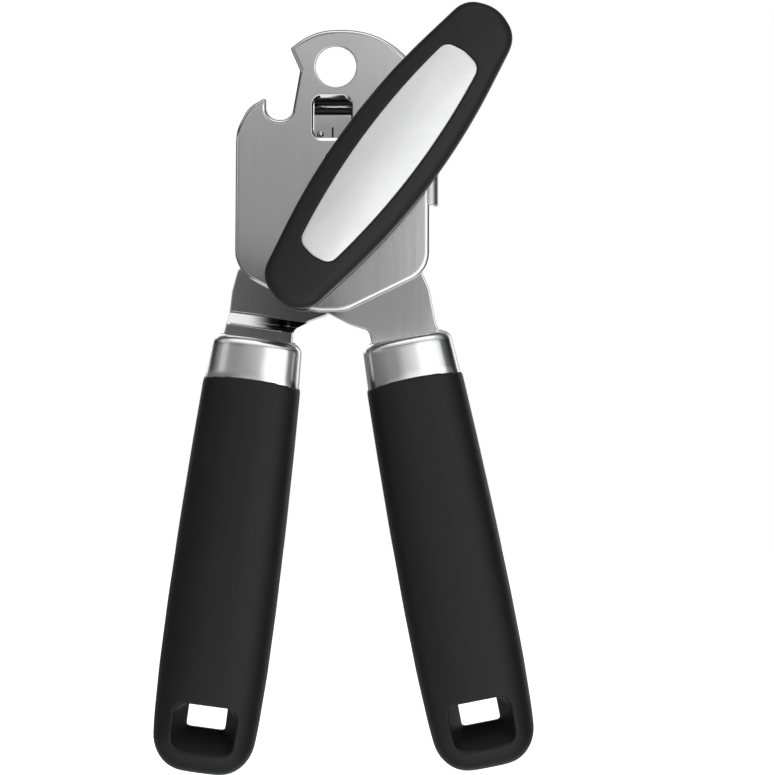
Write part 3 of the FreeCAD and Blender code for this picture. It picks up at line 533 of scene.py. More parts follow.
PLATE_CORNERS = [
    (-12.3, 5.0, 0.6), (-5.7, 10.0, 17.5), (25.3, 10.0, 23.0),
    (25.2, -55.1, 8.0), (2.5, -66.1, 9.0), (-6.3, -66.1, 9.0), (-27.3, -55.1, 9.5),
    (-27.0, -17.2, 12.0), (-23.6, -10.9, 7.0), (-18.8, -8.2, 0.6),
    (-18.9, -14.3, 3.4), (-12.1, -14.3, 3.2), (-9.7, -1.0, 1.2),
]
WINDOW = [(-6.1, -8.6, 2.0), (4.2, -8.6, 2.0), (4.2, -19.0, 2.0), (-6.1, -19.0, 2.0)]
HANGING_HOLE = 5.5
STUD_HOLE = 1.8
PLATE_BORE = 7.65
LIP_SIDE = 0.4
RIM_REAR = 1.6
RIM_WIDTH = 1.3
RIVETS = ((-10.3, -54.3), (-7.0, -37.3))
RIVET_RADIUS = 2.0
RIVET_HEAD = 3.0
RIVET_DOME = 0.7


def grow_window(corners, inset):
    """Grows the window evenly up and down, and less at its sides."""
    middle_x = (corners[0][0] + corners[1][0]) / 2
    middle_z = (corners[0][1] + corners[2][1]) / 2
    return [(x + inset * math.copysign(LIP_SIDE, middle_x - x), z + inset * math.copysign(1, middle_z - z),
             radius - inset * 0.8) for x, z, radius in corners]


def make_head_plate():
    """Plate with a rolled rim and a window with sloping lips."""
    rim = edge_profile(PLATE_FRONT, RIM_REAR, 0.9, 0.4, 7)[:-1]
    rim += [(RIM_WIDTH - 0.25, RIM_REAR), (RIM_WIDTH - 0.07, RIM_REAR - 0.07), (RIM_WIDTH, RIM_REAR - 0.25),
            (RIM_WIDTH, PLATE_FRONT + SHEET)]
    lip = [(outset, PLATE_FRONT + depth) for outset, depth in
           ((1.35, 0), (1.16, 0), (1.06, 0.02), (0.96, 0.065), (0.84, 0.13), (0.26, 0.46), (0.14, 0.55),
            (0.05, 0.66), (0.0, 0.8), (0.0, SHEET - 0.1), (0.03, SHEET - 0.03), (0.12, SHEET), (0.3, SHEET))]
    sheared = edge_profile(PLATE_FRONT, PLATE_FRONT + SHEET, 0.25, 0.1, 4)
    holes = [(circle_corners((0, 0), HANGING_HOLE), sheared), (WINDOW, lip, grow_window),
             (circle_corners(PIVOT, PLATE_BORE), sheared), (circle_corners(CUTTER, STUD_HOLE), sheared)]
    obj = sheet_piece("head_plate_sheet", PLATE_CORNERS, holes, rim)
    obj = smooth_by_angle(obj, 40)
    return finish_piece(obj, "cutter_lever", "plate_steel", PLATE_STEEL, "head_plate")


def make_side_guide():
    """The folded-back flange on the plate's right edge."""
    bend = 2.5
    edge = 25.2
    steps = 10
    top, bottom, reach = -11.6, -37.3, 6.5
    centre_y = PLATE_FRONT + bend
    outer = [(edge - 1.6, PLATE_FRONT + 0.05)]
    inner = [(edge - 1.6, PLATE_FRONT + SHEET)]
    for step in range(steps + 1):
        angle = math.pi / 2 * step / steps
        for course, radius in ((outer, bend), (inner, bend - SHEET)):
            course.append((edge + radius * math.sin(angle), centre_y - radius * math.cos(angle)))
    outer.append((edge + bend, reach))
    inner.append((edge + bend - SHEET, reach))
    section = outer + inner[::-1]
    verts = [(x, y, z) for z in (top, bottom) for x, y in section]
    count = len(section)
    faces = [tuple(range(count)), tuple(range(2 * count - 1, count - 1, -1))] + band(0, count, count)
    obj = new_object("side_guide", verts, faces)
    obj = bevel(obj, 0.35, 3, 50)
    obj = smooth_by_angle(obj, 40)
    return finish_piece(obj, "cutter_lever", "plate_steel", GUIDE_STEEL)


# ---- Knob ----

def mirrored(corners):
    """Adds the mirror image in Z of the corners between the two tips."""
    return corners + [(x, -z, radius) for x, z, radius in reversed(corners[1:-1])]


KNOB = mirrored([(-48.9, 0, 10), (-45.7, 7.95, 7), (0, 16.4, 180), (45.8, 8.45, 7), (49.1, 0, 10)])
INLAY = mirrored([(-33.4, 0, 9), (-32.35, 5.15, 3.2), (0.3, 10.55, 190), (33.1, 5.6, 3.2), (34.1, 0, 9)])
KNOB_BACK = -2.6
KNOB_SIDE_FRONT = -10.6
KNOB_CREST = -14.4
KNOB_HALF = 47.8
KNOB_BELLY = 12.9
BOW_ALONG = 1.5
BOW_ACROSS = 1.3
ROLL_DEPTH = 2.6
ROLL_WIDTH = 2.8
SEAT_GAP = 0.55
INLAY_RISE = 0.25
INLAY_CROWN = 0.45


def knob_front(x, z):
    """Y of the knob's bowed front at a place in its own plane."""
    along = x / KNOB_HALF
    across = z / KNOB_BELLY
    return KNOB_CREST + BOW_ALONG * along * along + BOW_ACROSS * across * across


def knob_matrix():
    """From the knob's own plane (X along it, Z across it) to the row frame."""
    place = Matrix.Translation(Vector((CRANK[0] * MM, 0, CRANK[1] * MM)))
    return place @ Matrix.Rotation(math.radians(-KNOB_TILT), 4, "Y")


def even_ring(corners, count):
    """A closed outline resampled to evenly spaced points, starting at its leftmost end."""
    points = sample(corners, 24)
    lengths = [0.0]
    closed = points + [points[0]]
    for here, there in zip(closed, closed[1:]):
        lengths.append(lengths[-1] + (there - here).length)
    total = lengths[-1]
    ring = []
    index = 0
    for step in range(count):
        target = total * step / count
        while lengths[index + 1] < target:
            index += 1
        span = max(lengths[index + 1] - lengths[index], 1e-9)
        part = (target - lengths[index]) / span
        ring.append(closed[index].lerp(closed[index + 1], part))
    return ring


def rolled(points):
    """Turns a ring so that it starts at its point nearest the -X end."""
    start = min(range(len(points)), key=lambda i: (points[i] - Vector((-1000, 0))).length)
    return points[start:] + points[:start]


KNOB_POINTS = 200


def even_inset(corners, inset):
    """An outline moved inwards, as a ring of evenly spaced points."""
    return rolled(even_ring(inset_corners(corners, inset), KNOB_POINTS))


def bowed(points, sink):
    """A ring laid on the knob's bowed front, and sunk below it by a distance."""
    return [(p.x, knob_front(p.x, p.y) + sink, p.y) for p in points]


def make_knob_shell():
    """Bowed paddle with soft edges, a seat for the inlay in front and a parting groove round its back."""
    rings = []
    for inset, rise in ((2.4, 0.35), (2.3, 0), (0.7, 0), (0.25, -0.2), (0.05, -0.7)):
        rings.append([(p.x, KNOB_BACK + rise, p.y) for p in even_inset(KNOB, inset)])
    widest = rolled(even_ring(KNOB, KNOB_POINTS))
    side = 6
    for step in range(side):
        level = KNOB_BACK - 1.0 + (KNOB_SIDE_FRONT - KNOB_BACK + 1.6) * (step + 1) / side
        rings.append([(p.x, level, p.y) for p in widest])
    roll = 8
    for step in range(1, roll + 1):
        angle = math.pi / 2 * step / roll
        inset = ROLL_WIDTH * (1 - math.cos(angle))
        rings.append(bowed(even_inset(KNOB, inset), ROLL_DEPTH * (1 - math.sin(angle))))
    outer = [Vector((x, z)) for x, _, z in rings[-1]]
    inner = even_inset(INLAY, -SEAT_GAP)
    steps = 7
    for step in range(1, steps + 1):
        share = step / steps
        rings.append(bowed([a.lerp(b, share) for a, b in zip(outer, inner)], 0))
    for inset, sink in ((-0.30, 0.06), (-0.12, 0.28), (-0.08, 0.9)):
        rings.append(bowed(even_inset(INLAY, inset), sink))
    obj = stack_rings("knob_shell_moulding", rings)
    obj.data.transform(knob_matrix())
    obj = smooth_by_angle(obj, 50)
    return finish_piece(obj, "crank", "knob_plastic", KNOB_PLASTIC, "knob_shell")


def make_knob_inlay():
    """Crowned steel inlay with a small bevelled border."""
    border = ((0.02, -0.8), (0.0, -0.10), (0.05, 0.06), (0.16, 0.16), (0.34, 0.22), (0.62, INLAY_RISE))
    rings = [bowed(even_inset(INLAY, inset), -rise) for inset, rise in border]
    outer = [Vector((x, z)) for x, _, z in rings[-1]]
    steps = 10
    for step in range(1, steps):
        share = step / steps
        points = [Vector((p.x * (1 - share * 0.9), p.y * (1 - share))) for p in outer]
        rings.append(bowed(points, -INLAY_RISE - INLAY_CROWN * (1 - (1 - share) ** 2)))
    obj = stack_rings("knob_inlay_plate", rings)
    obj.data.transform(knob_matrix())
    obj = smooth_by_angle(obj, 60)
    return finish_piece(obj, "crank", "inlay_steel", INLAY_STEEL, "knob_inlay")


# ---- Handles ----

SECTION_POINTS = 96
SECTION_POWER = 2.7
BARREL = (
    # station below the ferrule's top, half width, half depth
    (11.0, 13.15, 9.4), (30.0, 13.85, 10.0), (50.0, 14.4, 10.4), (72.0, 14.75, 10.6),
    (90.0, 14.7, 10.5), (104.0, 14.25, 10.2), (110.0, 13.8, 9.9),
)
GRIP_LIP = 11.9
GRIP_LIP_RINGS = (
    # distance below the lip, half width, half depth, rise of the arch
    (3.5, 12.0, 8.2, 0), (0.35, 12.35, 8.55, 1.1), (0.02, 12.62, 8.85, 1.1), (0.05, 12.90, 9.15, 1.1),
    (0.30, 13.12, 9.36, 1.08), (0.9, 13.22, 9.45, 1.0),
)
GRIP_SHOULDER = 108.0
GRIP_END = 118.6
# Hole near a handle's end: half width, half height, corner radius and centre of each outline.
HOLE_FLARE = (10.3, 8.5, 4.4, (0, -107.1))
HOLE_MOUTH = (9.7, 7.8, 4.2, (0, -106.9))
HOLE_THROAT = (5.25, 3.3, 0.5, (0, -103.05))
MOUTH_LEVEL = 11.4
THROAT_LEVEL = 0.9
VOXEL = 0.40


def superellipse(half_x, half_y, power):
    """Points round a superellipse, evenly spaced in angle."""
    points = []
    for step in range(SECTION_POINTS):
        angle = 2 * math.pi * step / SECTION_POINTS
        c, s = math.cos(angle), math.sin(angle)
        points.append((math.copysign(abs(c) ** (2 / power), c) * half_x,
                       math.copysign(abs(s) ** (2 / power), s) * half_y))
    return points


def barrel_size(along):
    """Half width and half depth of the grip at a station, in straight runs between the stated ones."""
    for (start, start_x, start_y), (end, end_x, end_y) in zip(BARREL, BARREL[1:]):
        if along <= end:
            share = (along - start) / (end - start)
            return start_x + (end_x - start_x) * share, start_y + (end_y - start_y) * share
    return BARREL[-1][1:]


def section_ring(along, half_x, half_y, rise=0.0, power=SECTION_POWER):
    """A ring of a handle that rises in an arch, most at the middle of its broad faces."""
    return [(x, y, -along + rise * (1 - min(abs(x) / half_x, 1) ** 2))
            for x, y in superellipse(half_x, half_y, power)]


def hole_cutter(side, sign):
    """Half of a handle's hole, from beyond the front (-1) or rear (1) face to just past the middle."""
    levels = ((HOLE_FLARE, MOUTH_LEVEL + 2), (HOLE_MOUTH, MOUTH_LEVEL), (HOLE_THROAT, THROAT_LEVEL),
              (HOLE_THROAT, -0.2))
    rings = [[(p.x, sign * level, p.y) for p in sample(box_corners(*shape), 8)] for shape, level in levels]
    return stack_rings(f"{side}_hole_{'front' if sign < 0 else 'rear'}", rings)


def make_grip(side):
    """Soft grip: barrel with an arched lip, a rounded end and a tapered hole near its end."""
    rings = [section_ring(GRIP_LIP + below, *rest) for below, *rest in GRIP_LIP_RINGS]
    along = GRIP_LIP + 3.0
    while along < GRIP_SHOULDER + 0.5:
        half_x, half_y = barrel_size(along)
        fade = max(0.0, 1 - (along - GRIP_LIP) / 12)
        rings.append(section_ring(along, half_x, half_y, 0.9 * fade))
        along += 2.4
    corner = GRIP_END - GRIP_SHOULDER
    steps = 12
    full_x, full_y = barrel_size(GRIP_SHOULDER)
    for step in range(1, steps + 1):
        angle = math.pi / 2 * step / steps
        inset = corner * (1 - math.cos(angle)) * 0.88
        rings.append(section_ring(GRIP_SHOULDER + corner * math.sin(angle), max(full_x - inset, 0.2),
                                  max(full_y - inset * 0.93, 0.15)))
    body = subdivide(stack_rings(side + "_grip_mould", rings), 1)
    for cutter in [hole_cutter(side, sign) for sign in (-1, 1)]:
        boolean = body.modifiers.new("hole", "BOOLEAN")
        boolean.operation = "DIFFERENCE"
        boolean.solver = "EXACT"
        boolean.object = cutter
        body = apply_modifiers(body)
        bpy.data.objects.remove(cutter)
    remesh = body.modifiers.new("remesh", "REMESH")
    remesh.mode = "VOXEL"
    remesh.voxel_size = VOXEL * MM
    remesh.use_smooth_shade = True
    soften = body.modifiers.new("soften", "SMOOTH")
    soften.factor = 0.5
    soften.iterations = 7
    body = apply_modifiers(body)
    body.data.transform(handle_matrix(side))
    for polygon in body.data.polygons:
        polygon.use_smooth = True
    return finish_piece(body, HANDLES[side][3], "grip_rubber", GRIP_RUBBER, side + "_grip")


FERRULE_LENGTH = 11.9
FERRULE_HALF = 12.75
FERRULE_DEPTH = 8.9
FERRULE_DRAFT = 0.7
FERRULE_ROUND = 2.6
FERRULE_WALL = 0.35


def make_ferrule(side):
    """Drawn steel collar with a rolled shoulder, tucked under the grip's arched lip."""
    def ring(along, inset, rise=0.0, power=SECTION_POWER):
        draft = inset + FERRULE_DRAFT * max(0, 1 - along / FERRULE_LENGTH)
        return section_ring(along, FERRULE_HALF - draft, FERRULE_DEPTH - draft, rise, power)

    rings = [section_ring(1.2, 9.7, 1.25, power=8), section_ring(0.15, 9.72, 1.27, power=8),
             section_ring(0.0, 9.85, 1.4, power=7), ring(0.0, 3.2, power=3.2), ring(0.02, 2.3, power=3.0)]
    steps = 8
    for step in range(1, steps + 1):
        angle = math.pi / 2 * step / steps
        rings.append(ring(FERRULE_ROUND * (1 - math.cos(angle)), FERRULE_ROUND * (1 - math.sin(angle)),
                          0.35 * math.sin(angle)))
    for along in (3.4, 5.0, 7.5, 10.0, 12.2):
        rings.append(ring(along, 0.0, 0.35 + 0.75 * (along - FERRULE_ROUND) / 10))
    rings += [ring(13.2, 0.35, 1.1), ring(15.2, 0.75, 1.0), ring(15.5, 1.4, 1.0)]
    obj = stack_rings(side + "_ferrule_collar", rings, cap_first=False, cap_last=False)
    inner = obj.modifiers.new("wall", "SOLIDIFY")
    inner.thickness = FERRULE_WALL * MM
    inner.offset = -1
    apply_modifiers(obj)
    obj.data.transform(handle_matrix(side))
    obj = smooth_by_angle(obj, 45)
    return finish_piece(obj, HANDLES[side][3], "ferrule_steel", FERRULE_STEEL, side + "_ferrule")


# ---- Levers ----

RIGHT_EYE = 11.4
RIGHT_BORE = 8.1
LEFT_EYE = 11.7
LEFT_BORE = 8.65
LEVER_ROUND = 0.22


def eye(radius):
    """The two corners that make the upper half of a lever's round end."""
    x, z = PIVOT
    return [(x - radius, z + radius, radius), (x + radius, z + radius, radius)]


def tang(side):
    """Corners of a lever inside its ferrule."""
    spots = ((9.4, 0, 1), (9.4, 3.0, 0), (7.9, 3.0, 0.5), (7.9, 14, 1),
             (-7.9, 14, 1), (-7.9, 3.0, 0.5), (-9.4, 3.0, 0), (-9.4, 0, 1))
    return [(*handle_point(side, across, along), radius) for across, along, radius in spots]


def make_right_lever():
    """Flat feed lever with sheared, lightly rounded edges."""
    blade = eye(RIGHT_EYE)
    blade += [(25.4, -24.9, 5), (16.3, -41.6, 4), (22.6, -53.9, 3), (25.3, -60.0, 6), (27.1, -69.5, 4)]
    blade += tang("right")
    blade += [(8.9, -71.3, 2), (3.8, -69.6, 6), (-2.9, -66.2, 0.8), (3.2, -60.5, 2),
              (3.2, -45.0, 5), (4.4, -28.6, 1.5), (2.6, -24.0, 2)]
    profile = edge_profile(RIGHT_FRONT, RIGHT_FRONT + LEVER_SHEET, LEVER_ROUND, LEVER_ROUND, 3)
    obj = sheet_piece("right_lever_blade", blade, [(circle_corners(PIVOT, RIGHT_BORE), profile)], profile)
    obj = smooth_by_angle(obj, 40)
    return finish_piece(obj, "feed_lever", "lever_steel", LEVER_STEEL, "right_lever")


JOG_START = -6.1
JOG_LENGTH = 3.5
JOG_SHORTEST = 2.6
JOG_FAN = 0.09
SHANK_LEFT = -8.4
JOG_DEPTH = REAR_FRONT - RIGHT_FRONT
SHANK_WIDTH = 18
TAB_LEFT = -6.0
TAB_RIGHT = 4.2
TAB_START = -12.7
TAB_RADIUS = 5.6
TAB_LENGTH = 11.5
REST_SLIT = -0.95


def joggle(share, bend):
    """Height of the joggle from 0 to 1: two bends with a straight ramp between them."""
    slope = 1 / (1 - bend)
    if share < bend:
        return slope * share * share / (2 * bend)
    if share > 1 - bend:
        return 1 - slope * (1 - share) ** 2 / (2 * bend)
    return slope * (share - bend / 2)


def slice_at(bm, point, normal):
    """Splits the faces that a plane crosses, so that the sheet can bend there."""
    geometry = bm.verts[:] + bm.edges[:] + bm.faces[:]
    bmesh.ops.bisect_plane(bm, geom=geometry, plane_co=point, plane_no=normal, dist=1e-7)


def press_joggle(bm):
    """Steps the shank forward into the handle. The step is across the handle, and shorter to the right."""
    handle = handle_matrix("left")
    axis = handle.to_3x3() @ Vector((0, 0, 1))
    steps = 40
    for step in range(steps + 1):
        along = JOG_START - 0.2 + (JOG_LENGTH + 0.4) * step / steps
        slice_at(bm, handle @ Vector((0, 0, -along * MM)), axis)
    inverse = handle.inverted()
    for vert in bm.verts:
        across, _, height = (inverse @ vert.co) / MM
        length = max(JOG_SHORTEST, JOG_LENGTH - JOG_FAN * max(0, across - SHANK_LEFT))
        share = min(max((-height - JOG_START) / length, 0), 1)
        sweep = min(max((across - SHANK_LEFT) / SHANK_WIDTH, 0), 1)
        vert.co.y -= JOG_DEPTH * MM * joggle(share, 0.22 - 0.10 * sweep)


def roll_tab(bm):
    """Rolls the rim-rest tab a quarter turn back over the cutting wheel."""
    arc = TAB_RADIUS * math.pi / 2
    steps = 18
    for step in range(steps + 1):
        slice_at(bm, Vector((0, 0, (TAB_START + arc * step / steps) * MM)), Vector((0, 0, 1)))
    for vert in bm.verts:
        x, y, z = vert.co / MM
        height = z - TAB_START
        if height > 0 and TAB_LEFT - 0.6 < x < TAB_RIGHT + 0.6:
            reach = min(height, arc)
            offset = TAB_RADIUS - (y - REAR_FRONT)
            angle = reach / TAB_RADIUS
            vert.co.y = (REAR_FRONT + TAB_RADIUS - offset * math.cos(angle) + height - reach) * MM
            vert.co.z = (TAB_START + offset * math.sin(angle)) * MM


def make_left_lever():
    """Rear lever: flat blade, joggled shank and a rim-rest tab rolled back over the cutting wheel."""
    x, z = PIVOT
    radius = LEFT_EYE
    blade = [(TAB_LEFT, TAB_START + TAB_LENGTH, 0.5), (TAB_RIGHT, TAB_START + TAB_LENGTH, 0.5),
             (TAB_RIGHT, -14.4, 0.5), (x - 0.33 * radius, z + radius, radius * 0.99),
             (x + radius, z + radius, radius * 0.99), (x + radius, -26, 8),
             (12, -50, 20), (2, -61.5, 6), (-2.3, -66.9, 1.2),
             (-7.0, -68.6, 3), (-11.6, -71.0, 2.5)]
    blade += tang("left")
    blade += [(-29.0, -66.5, 6), (-28.3, -60.5, 8), (-26.8, -55.0, 4), (-23.0, -50, 8),
              (-16, -36, 20), (-11.5, -24, 12), (TAB_LEFT, -16.5, 1.0)]
    profile = edge_profile(REAR_FRONT, REAR_FRONT + LEVER_SHEET, LEVER_ROUND, LEVER_ROUND, 3)
    holes = [(circle_corners(PIVOT, LEFT_BORE), profile)]
    slit = groove((REST_SLIT, -15.9), (REST_SLIT, -20.5), 0.46)
    holes.append((slit, [(0, REAR_FRONT), (0, REAR_FRONT + 1.2)]))
    obj = sheet_piece("left_lever_blade", blade, holes, profile)
    bm = bmesh.new()
    bm.from_mesh(obj.data)
    press_joggle(bm)
    roll_tab(bm)
    bm.to_mesh(obj.data)
    bm.free()
    obj = smooth_by_angle(obj, 40)
    return finish_piece(obj, "cutter_lever", "lever_steel", REAR_LEVER_STEEL, "left_lever")


# ---- Small turned pieces ----

def dome(radius, base, height, sign, steps=8):
    """(radius, Y) profile of a domed head that stands sign-wards of its base."""
    profile = []
    for step in range(steps + 1):
        angle = math.pi / 2 * step / steps
        profile.append((radius * math.cos(angle) ** 0.7 + 0.001, base + sign * height * math.sin(angle)))
    return profile


def make_rivets():
    """Domed heads of the head rivets, front and rear."""
    for number, spot in enumerate(RIVETS):
        front = dome(RIVET_HEAD, PLATE_FRONT - 0.1, RIVET_DOME, -1)
        rear_base = REAR_FRONT + LEVER_SHEET
        rear = dome(RIVET_HEAD, rear_base + 0.1, RIVET_DOME, 1)
        profile = front[::-1] + [(RIVET_HEAD, PLATE_FRONT), (RIVET_RADIUS, PLATE_FRONT),
                                 (RIVET_RADIUS, rear_base), (RIVET_HEAD, rear_base)]
        obj = lathe(f"head_rivet_{number}", profile + rear, spot, 48)
        obj = smooth_by_angle(obj, 35)
        nodes = ("head_rivets",) if number == 0 else ()
        finish_piece(obj, "cutter_lever", "fastener_steel", BRIGHT_STEEL, *nodes)


def make_rest_dimple():
    """Small pressed dimple in the blade, seen in the window's lower left corner."""
    spot = (-4.3, -17.8)
    profile = dome(1.0, REAR_FRONT + 0.02, 0.8, -1)
    profile += [(0.001, REAR_FRONT + 0.3), (1.0, REAR_FRONT + 0.3)]
    obj = smooth_by_angle(lathe("rest_dimple", profile, spot, 32), 60)
    return finish_piece(obj, "cutter_lever", "lever_steel", LEVER_STEEL)


def make_cutting_wheel():
    """Blade with a hollow-ground bevel and a stepped hub."""
    profile = [(4.1, 7.0), (4.1, 12.9), (4.9, 12.9), (5.2, 12.65), (5.2, 12.4), (6.7, 12.35)]
    for step in range(9):
        share = step / 8
        profile.append((6.8 + 2.48 * share, 12.3 - 1.42 * share ** 0.75))
    profile += [(9.3, 10.86), (9.28, 10.8), (5.6, 10.8), (5.2, 10.6), (5.2, 7.25), (4.95, 7.0)]
    obj = lathe("cutting_wheel_blade", profile, CUTTER, 120)
    obj = smooth_by_angle(obj, 25)
    return finish_piece(obj, "cutter", "cutting_steel", CUTTING_STEEL, "cutting_wheel")


def make_feed_wheel():
    """Toothed wheel with radial serrations and chamfered tooth tips."""
    teeth = 26
    front, rear = 6.95, 10.55
    tip, root, bore = 7.2, 6.3, 3.0
    around = []
    for tooth in range(teeth):
        for share, radius in ((0.0, tip), (0.16, tip), (0.50, root), (0.84, tip)):
            around.append((2 * math.pi * (tooth + share) / teeth, radius))
    rings = []
    for y, cut in ((front, 0.35), (front + 0.3, 0.0), (rear - 0.3, 0.0), (rear, 0.35)):
        rings.append([(angle, y, radius - cut * (1.0 if radius == tip else 0.3)) for angle, radius in around])
    for y in (rear, front):
        rings.append([(angle, y, bore) for angle, _ in around])
    verts = [(CRANK[0] + reach * math.cos(angle), y, CRANK[1] + reach * math.sin(angle))
             for ring in rings for angle, y, reach in ring]
    count = len(around)
    faces = []
    for level in range(len(rings)):
        faces += band(level * count, (level + 1) % len(rings) * count, count)
    obj = new_object("feed_wheel_teeth", verts, faces)
    obj = bevel(obj, 0.06, 2, 25)
    obj = smooth_by_angle(obj, 30)
    return finish_piece(obj, "crank", "cutting_steel", CUTTING_STEEL, "feed_wheel")


def paint_cad_nodes():
    """Finishes for the CAD pieces that stay as they are."""
    finishes = {
        "rivet_spacers": TURNED_STEEL, "cutter_stud": TURNED_STEEL, "cutter_spring_washer": BRIGHT_STEEL,
        "cutter_screw": BRIGHT_STEEL, "left_core": CORE_PLASTIC, "right_core": CORE_PLASTIC,
        "left_tang_pin": BRIGHT_STEEL, "right_tang_pin": BRIGHT_STEEL, "cutter_bush": BRONZE,
        "eccentric_bushing": TURNED_STEEL, "crank_axle": TURNED_STEEL, "front_thrust_washer": BRIGHT_STEEL,
        "rear_thrust_washer": BRIGHT_STEEL, "knob_back_cover": KNOB_PLASTIC,
        "knob_hub_insert": TURNED_STEEL, "knob_screw": BRIGHT_STEEL,
    }
    for name, material in finishes.items():
        node = frame["nodes"][name]
        if not node.data.materials:
            node.data.materials.append(material)
        for slot in node.material_slots:
            slot.material = material


# ---- Stage ----

FRAME_HEIGHT = 209.25
CAMERA_DISTANCE = 650.0
CAMERA_X = 13.8
CAMERA_Z = -86.6


def make_camera():
    """Camera square on to the head plate."""
    data = bpy.data.cameras.new("camera")
    data.sensor_width = 36.0
    data.lens = 36.0 * CAMERA_DISTANCE / FRAME_HEIGHT
    data.dof.use_dof = False
    camera = put("camera", data)
    camera.location = (CAMERA_X * MM, -CAMERA_DISTANCE * MM, CAMERA_Z * MM)
    camera.rotation_euler = (math.pi / 2, 0, 0)
    bpy.context.scene.camera = camera


def area_light(name, place, target, size, power):
    """A rectangular soft light aimed at a target."""
    data = bpy.data.lights.new(name, "AREA")
    data.shape = "RECTANGLE"
    data.size, data.size_y = size
    data.energy = power
    light = put(name, data)
    light.location = place
    light.rotation_euler = (Vector(target) - Vector(place)).to_track_quat("-Z", "Y").to_euler()


# Brightness of the studio against the sine of the elevation: bright below, grey in front, a light
# strip just over the lens, a dark ceiling edge, then the bright ceiling.
STUDIO_BY_HEIGHT = ((-1.0, 1.5), (-0.42, 1.4), (-0.16, 0.5), (-0.1, 0.44), (0.107, 0.435), (0.123, 0.55),
                    (0.139, 0.82), (0.19, 0.78), (0.24, 0.10), (0.36, 0.10), (0.46, 0.9), (1.0, 1.0))
# How much of it is left from the front (-1) to the rear (1), and from the left (-1) to the right.
STUDIO_BY_DEPTH = ((-1.0, 1.0), (-0.3, 1.0), (-0.1, 0.5), (0.1, 0.10), (0.5, 0.10), (0.66, 0.6), (1.0, 0.8))
STUDIO_BY_SIDE = ((-1.0, 1.0), (-0.6, 0.8), (-0.25, 0.62), (-0.07, 1.0), (0.45, 1.0), (0.75, 0.5), (1.0, 0.4))


def make_world():
    """White to the camera; a grey studio with a bright ceiling to everything else."""
    world = bpy.data.worlds.new("studio")
    bpy.context.scene.world = world
    world.use_nodes = True
    tree = world.node_tree
    tree.nodes.clear()

    node = tree.nodes.new
    link = tree.links.new
    place = node("ShaderNodeTexCoord")
    split = node("ShaderNodeSeparateXYZ")
    link(place.outputs["Generated"], split.inputs["Vector"])

    def shade(axis, stops):
        lift = node("ShaderNodeMapRange")
        lift.inputs["From Min"].default_value = -1
        lift.inputs["From Max"].default_value = 1
        ramp = node("ShaderNodeValToRGB")
        fill_ramp(ramp, [((where + 1) / 2, value) for where, value in stops])
        link(split.outputs[axis], lift.inputs["Value"])
        link(lift.outputs["Result"], ramp.inputs["Fac"])
        return ramp.outputs["Color"]

    def multiply(first, second):
        product = node("ShaderNodeVectorMath")
        product.operation = "MULTIPLY"
        link(first, product.inputs[0])
        link(second, product.inputs[1])
        return product.outputs["Vector"]

    tone = multiply(shade("Z", STUDIO_BY_HEIGHT), shade("Y", STUDIO_BY_DEPTH))
    tone = multiply(tone, shade("X", STUDIO_BY_SIDE))
    studio = node("ShaderNodeBackground")
    link(tone, studio.inputs["Color"])
    white = node("ShaderNodeBackground")
    white.inputs["Color"].default_value = (1, 1, 1, 1)
    path = node("ShaderNodeLightPath")
    mix = node("ShaderNodeMixShader")
    output = node("ShaderNodeOutputWorld")
    link(path.outputs["Is Camera Ray"], mix.inputs["Fac"])
    link(studio.outputs["Background"], mix.inputs[1])
    link(white.outputs["Background"], mix.inputs[2])
    link(mix.outputs["Shader"], output.inputs["Surface"])


def make_floor():
    """Pale floor below the hanging opener."""
    left, right, front, rear, level = -2000, 2000, -500, 3000, -330
    verts = [(left, front, level), (right, front, level), (right, rear, level), (left, rear, level)]
    floor = new_object("floor", verts, [(0, 1, 2, 3)])
    nodes = Nodes("pale_floor")
    tone = nodes.mix(nodes.noise(3, 3), (0.86, 0.86, 0.86), (0.90, 0.90, 0.90))
    floor.data.materials.append(nodes.wire(Base_Color=tone, Roughness=0.9, Emission_Color=(1, 1, 1, 1),
                                           Emission_Strength=0.9))
    floor.visible_glossy = False


def make_card(name, corners, glow):
    """A card that shows in reflections but not to the camera or in diffuse light. It blocks the lamps'
    light as any card does. Its glow runs from its lowest X to its highest."""
    card = new_object(name, corners, [tuple(range(len(corners)))])
    nodes = Nodes(name + "_paper")
    split = nodes.add("ShaderNodeSeparateXYZ")
    nodes.link(nodes.place, split.inputs["Vector"])
    across = nodes.add("ShaderNodeMapRange")
    across.inputs["From Min"].default_value = min(corner[0] for corner in corners) * MM
    across.inputs["From Max"].default_value = max(corner[0] for corner in corners) * MM + MM
    nodes.link(split.outputs["X"], across.inputs["Value"])
    tone = nodes.ramp(across.outputs["Result"], glow)
    card.data.materials.append(nodes.wire(Base_Color=(0.01, 0.01, 0.01, 1), Roughness=0.9,
                                          Emission_Color=tone, Emission_Strength=1.5))
    card.visible_camera = False
    card.visible_diffuse = False


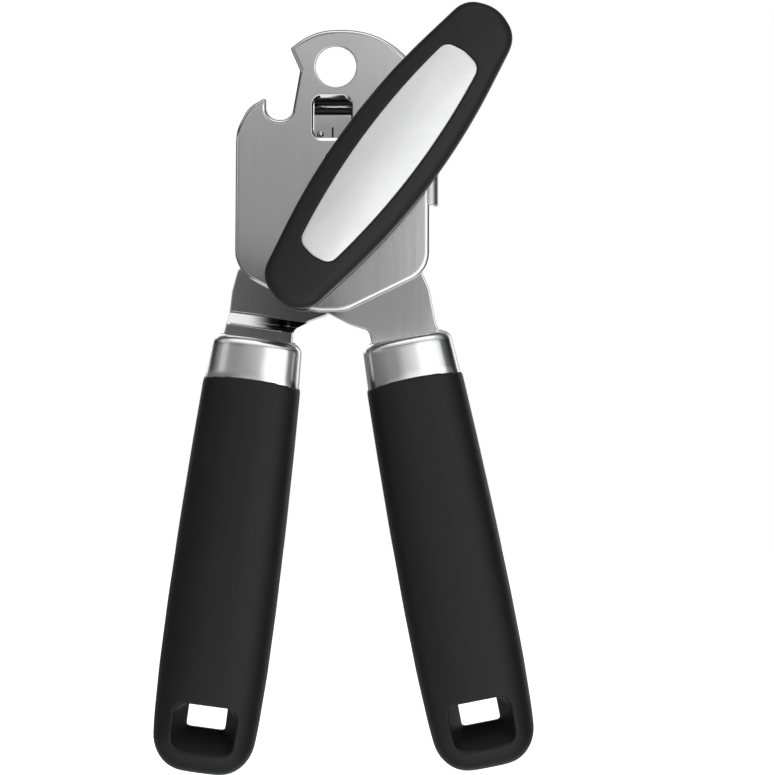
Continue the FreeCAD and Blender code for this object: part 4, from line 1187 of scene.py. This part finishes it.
def make_cards():
    """A dark card in front of the left lever, a dark one left of the handles, a white one in front of the
    right ferrule, a pale one for the head's left rims and a white strip over the joggle."""
    front = -300

    def facing(*spots):
        return [(x, front, z) for x, z in spots]

    make_card("lever_flag", facing((-62, -72), (-62, -30), (-38, -36), (-22, -46), (-6, -52), (-6, -72)),
              ((0.2, 0.113), (0.5, 0.067), (0.75, 0.033), (1.0, 0.013)))
    make_card("side_flag", [(-125, -260, -215), (-125, 60, -215), (-125, 60, -66), (-125, -260, -66)],
              ((0.0, 0.11), (1.0, 0.11)))
    make_card("ferrule_card", facing((-16, -92), (-16, -71.5), (150, -60), (150, -92)),
              ((0.0, 0.35), (0.1, 0.85), (0.2, 1.0), (1.0, 1.0)))
    make_card("rim_card", facing((-600, 0), (-600, 100), (-270, 70), (-270, -8)),
              ((0.0, 0.6), (1.0, 0.6)))
    make_card("joggle_card", [(-31, 0.2, -65.3), (-14, 0.2, -67.6), (-14, 3.9, -67.75), (-31, 3.9, -65.45)],
              ((0.0, 1.0), (0.4, 0.9), (0.75, 0.15), (0.9, 0.0)))


def make_lights():
    """Soft boxes: (place, width and height, power) in metres and watts, aimed at the opener's middle."""
    target = (0.014, 0, -0.085)
    boxes = {
        "key": ((0.495, -0.88, -0.12), (1.0, 0.85), 3.3),
        "ceiling": ((0.0, -0.45, 0.75), (0.9, 0.55), 1.2),
        "rear_key": ((-0.35, 0.95, 0.30), (0.9, 0.7), 2.2),
        "rear_fill": ((0.7, 0.8, 0.1), (0.5, 0.7), 1.2),
    }
    for name, (place, size, power) in boxes.items():
        area_light(name, place, target, size, power)


bpy.context.scene.view_settings.view_transform = "Standard"
make_camera()
make_world()
make_floor()
make_cards()
make_lights()
make_head_plate()
make_side_guide()
make_right_lever()
make_left_lever()
make_knob_shell()
make_knob_inlay()
for side_name in HANDLES:
    make_grip(side_name)
    make_ferrule(side_name)
make_rivets()
make_rest_dimple()
make_cutting_wheel()
make_feed_wheel()
paint_cad_nodes()
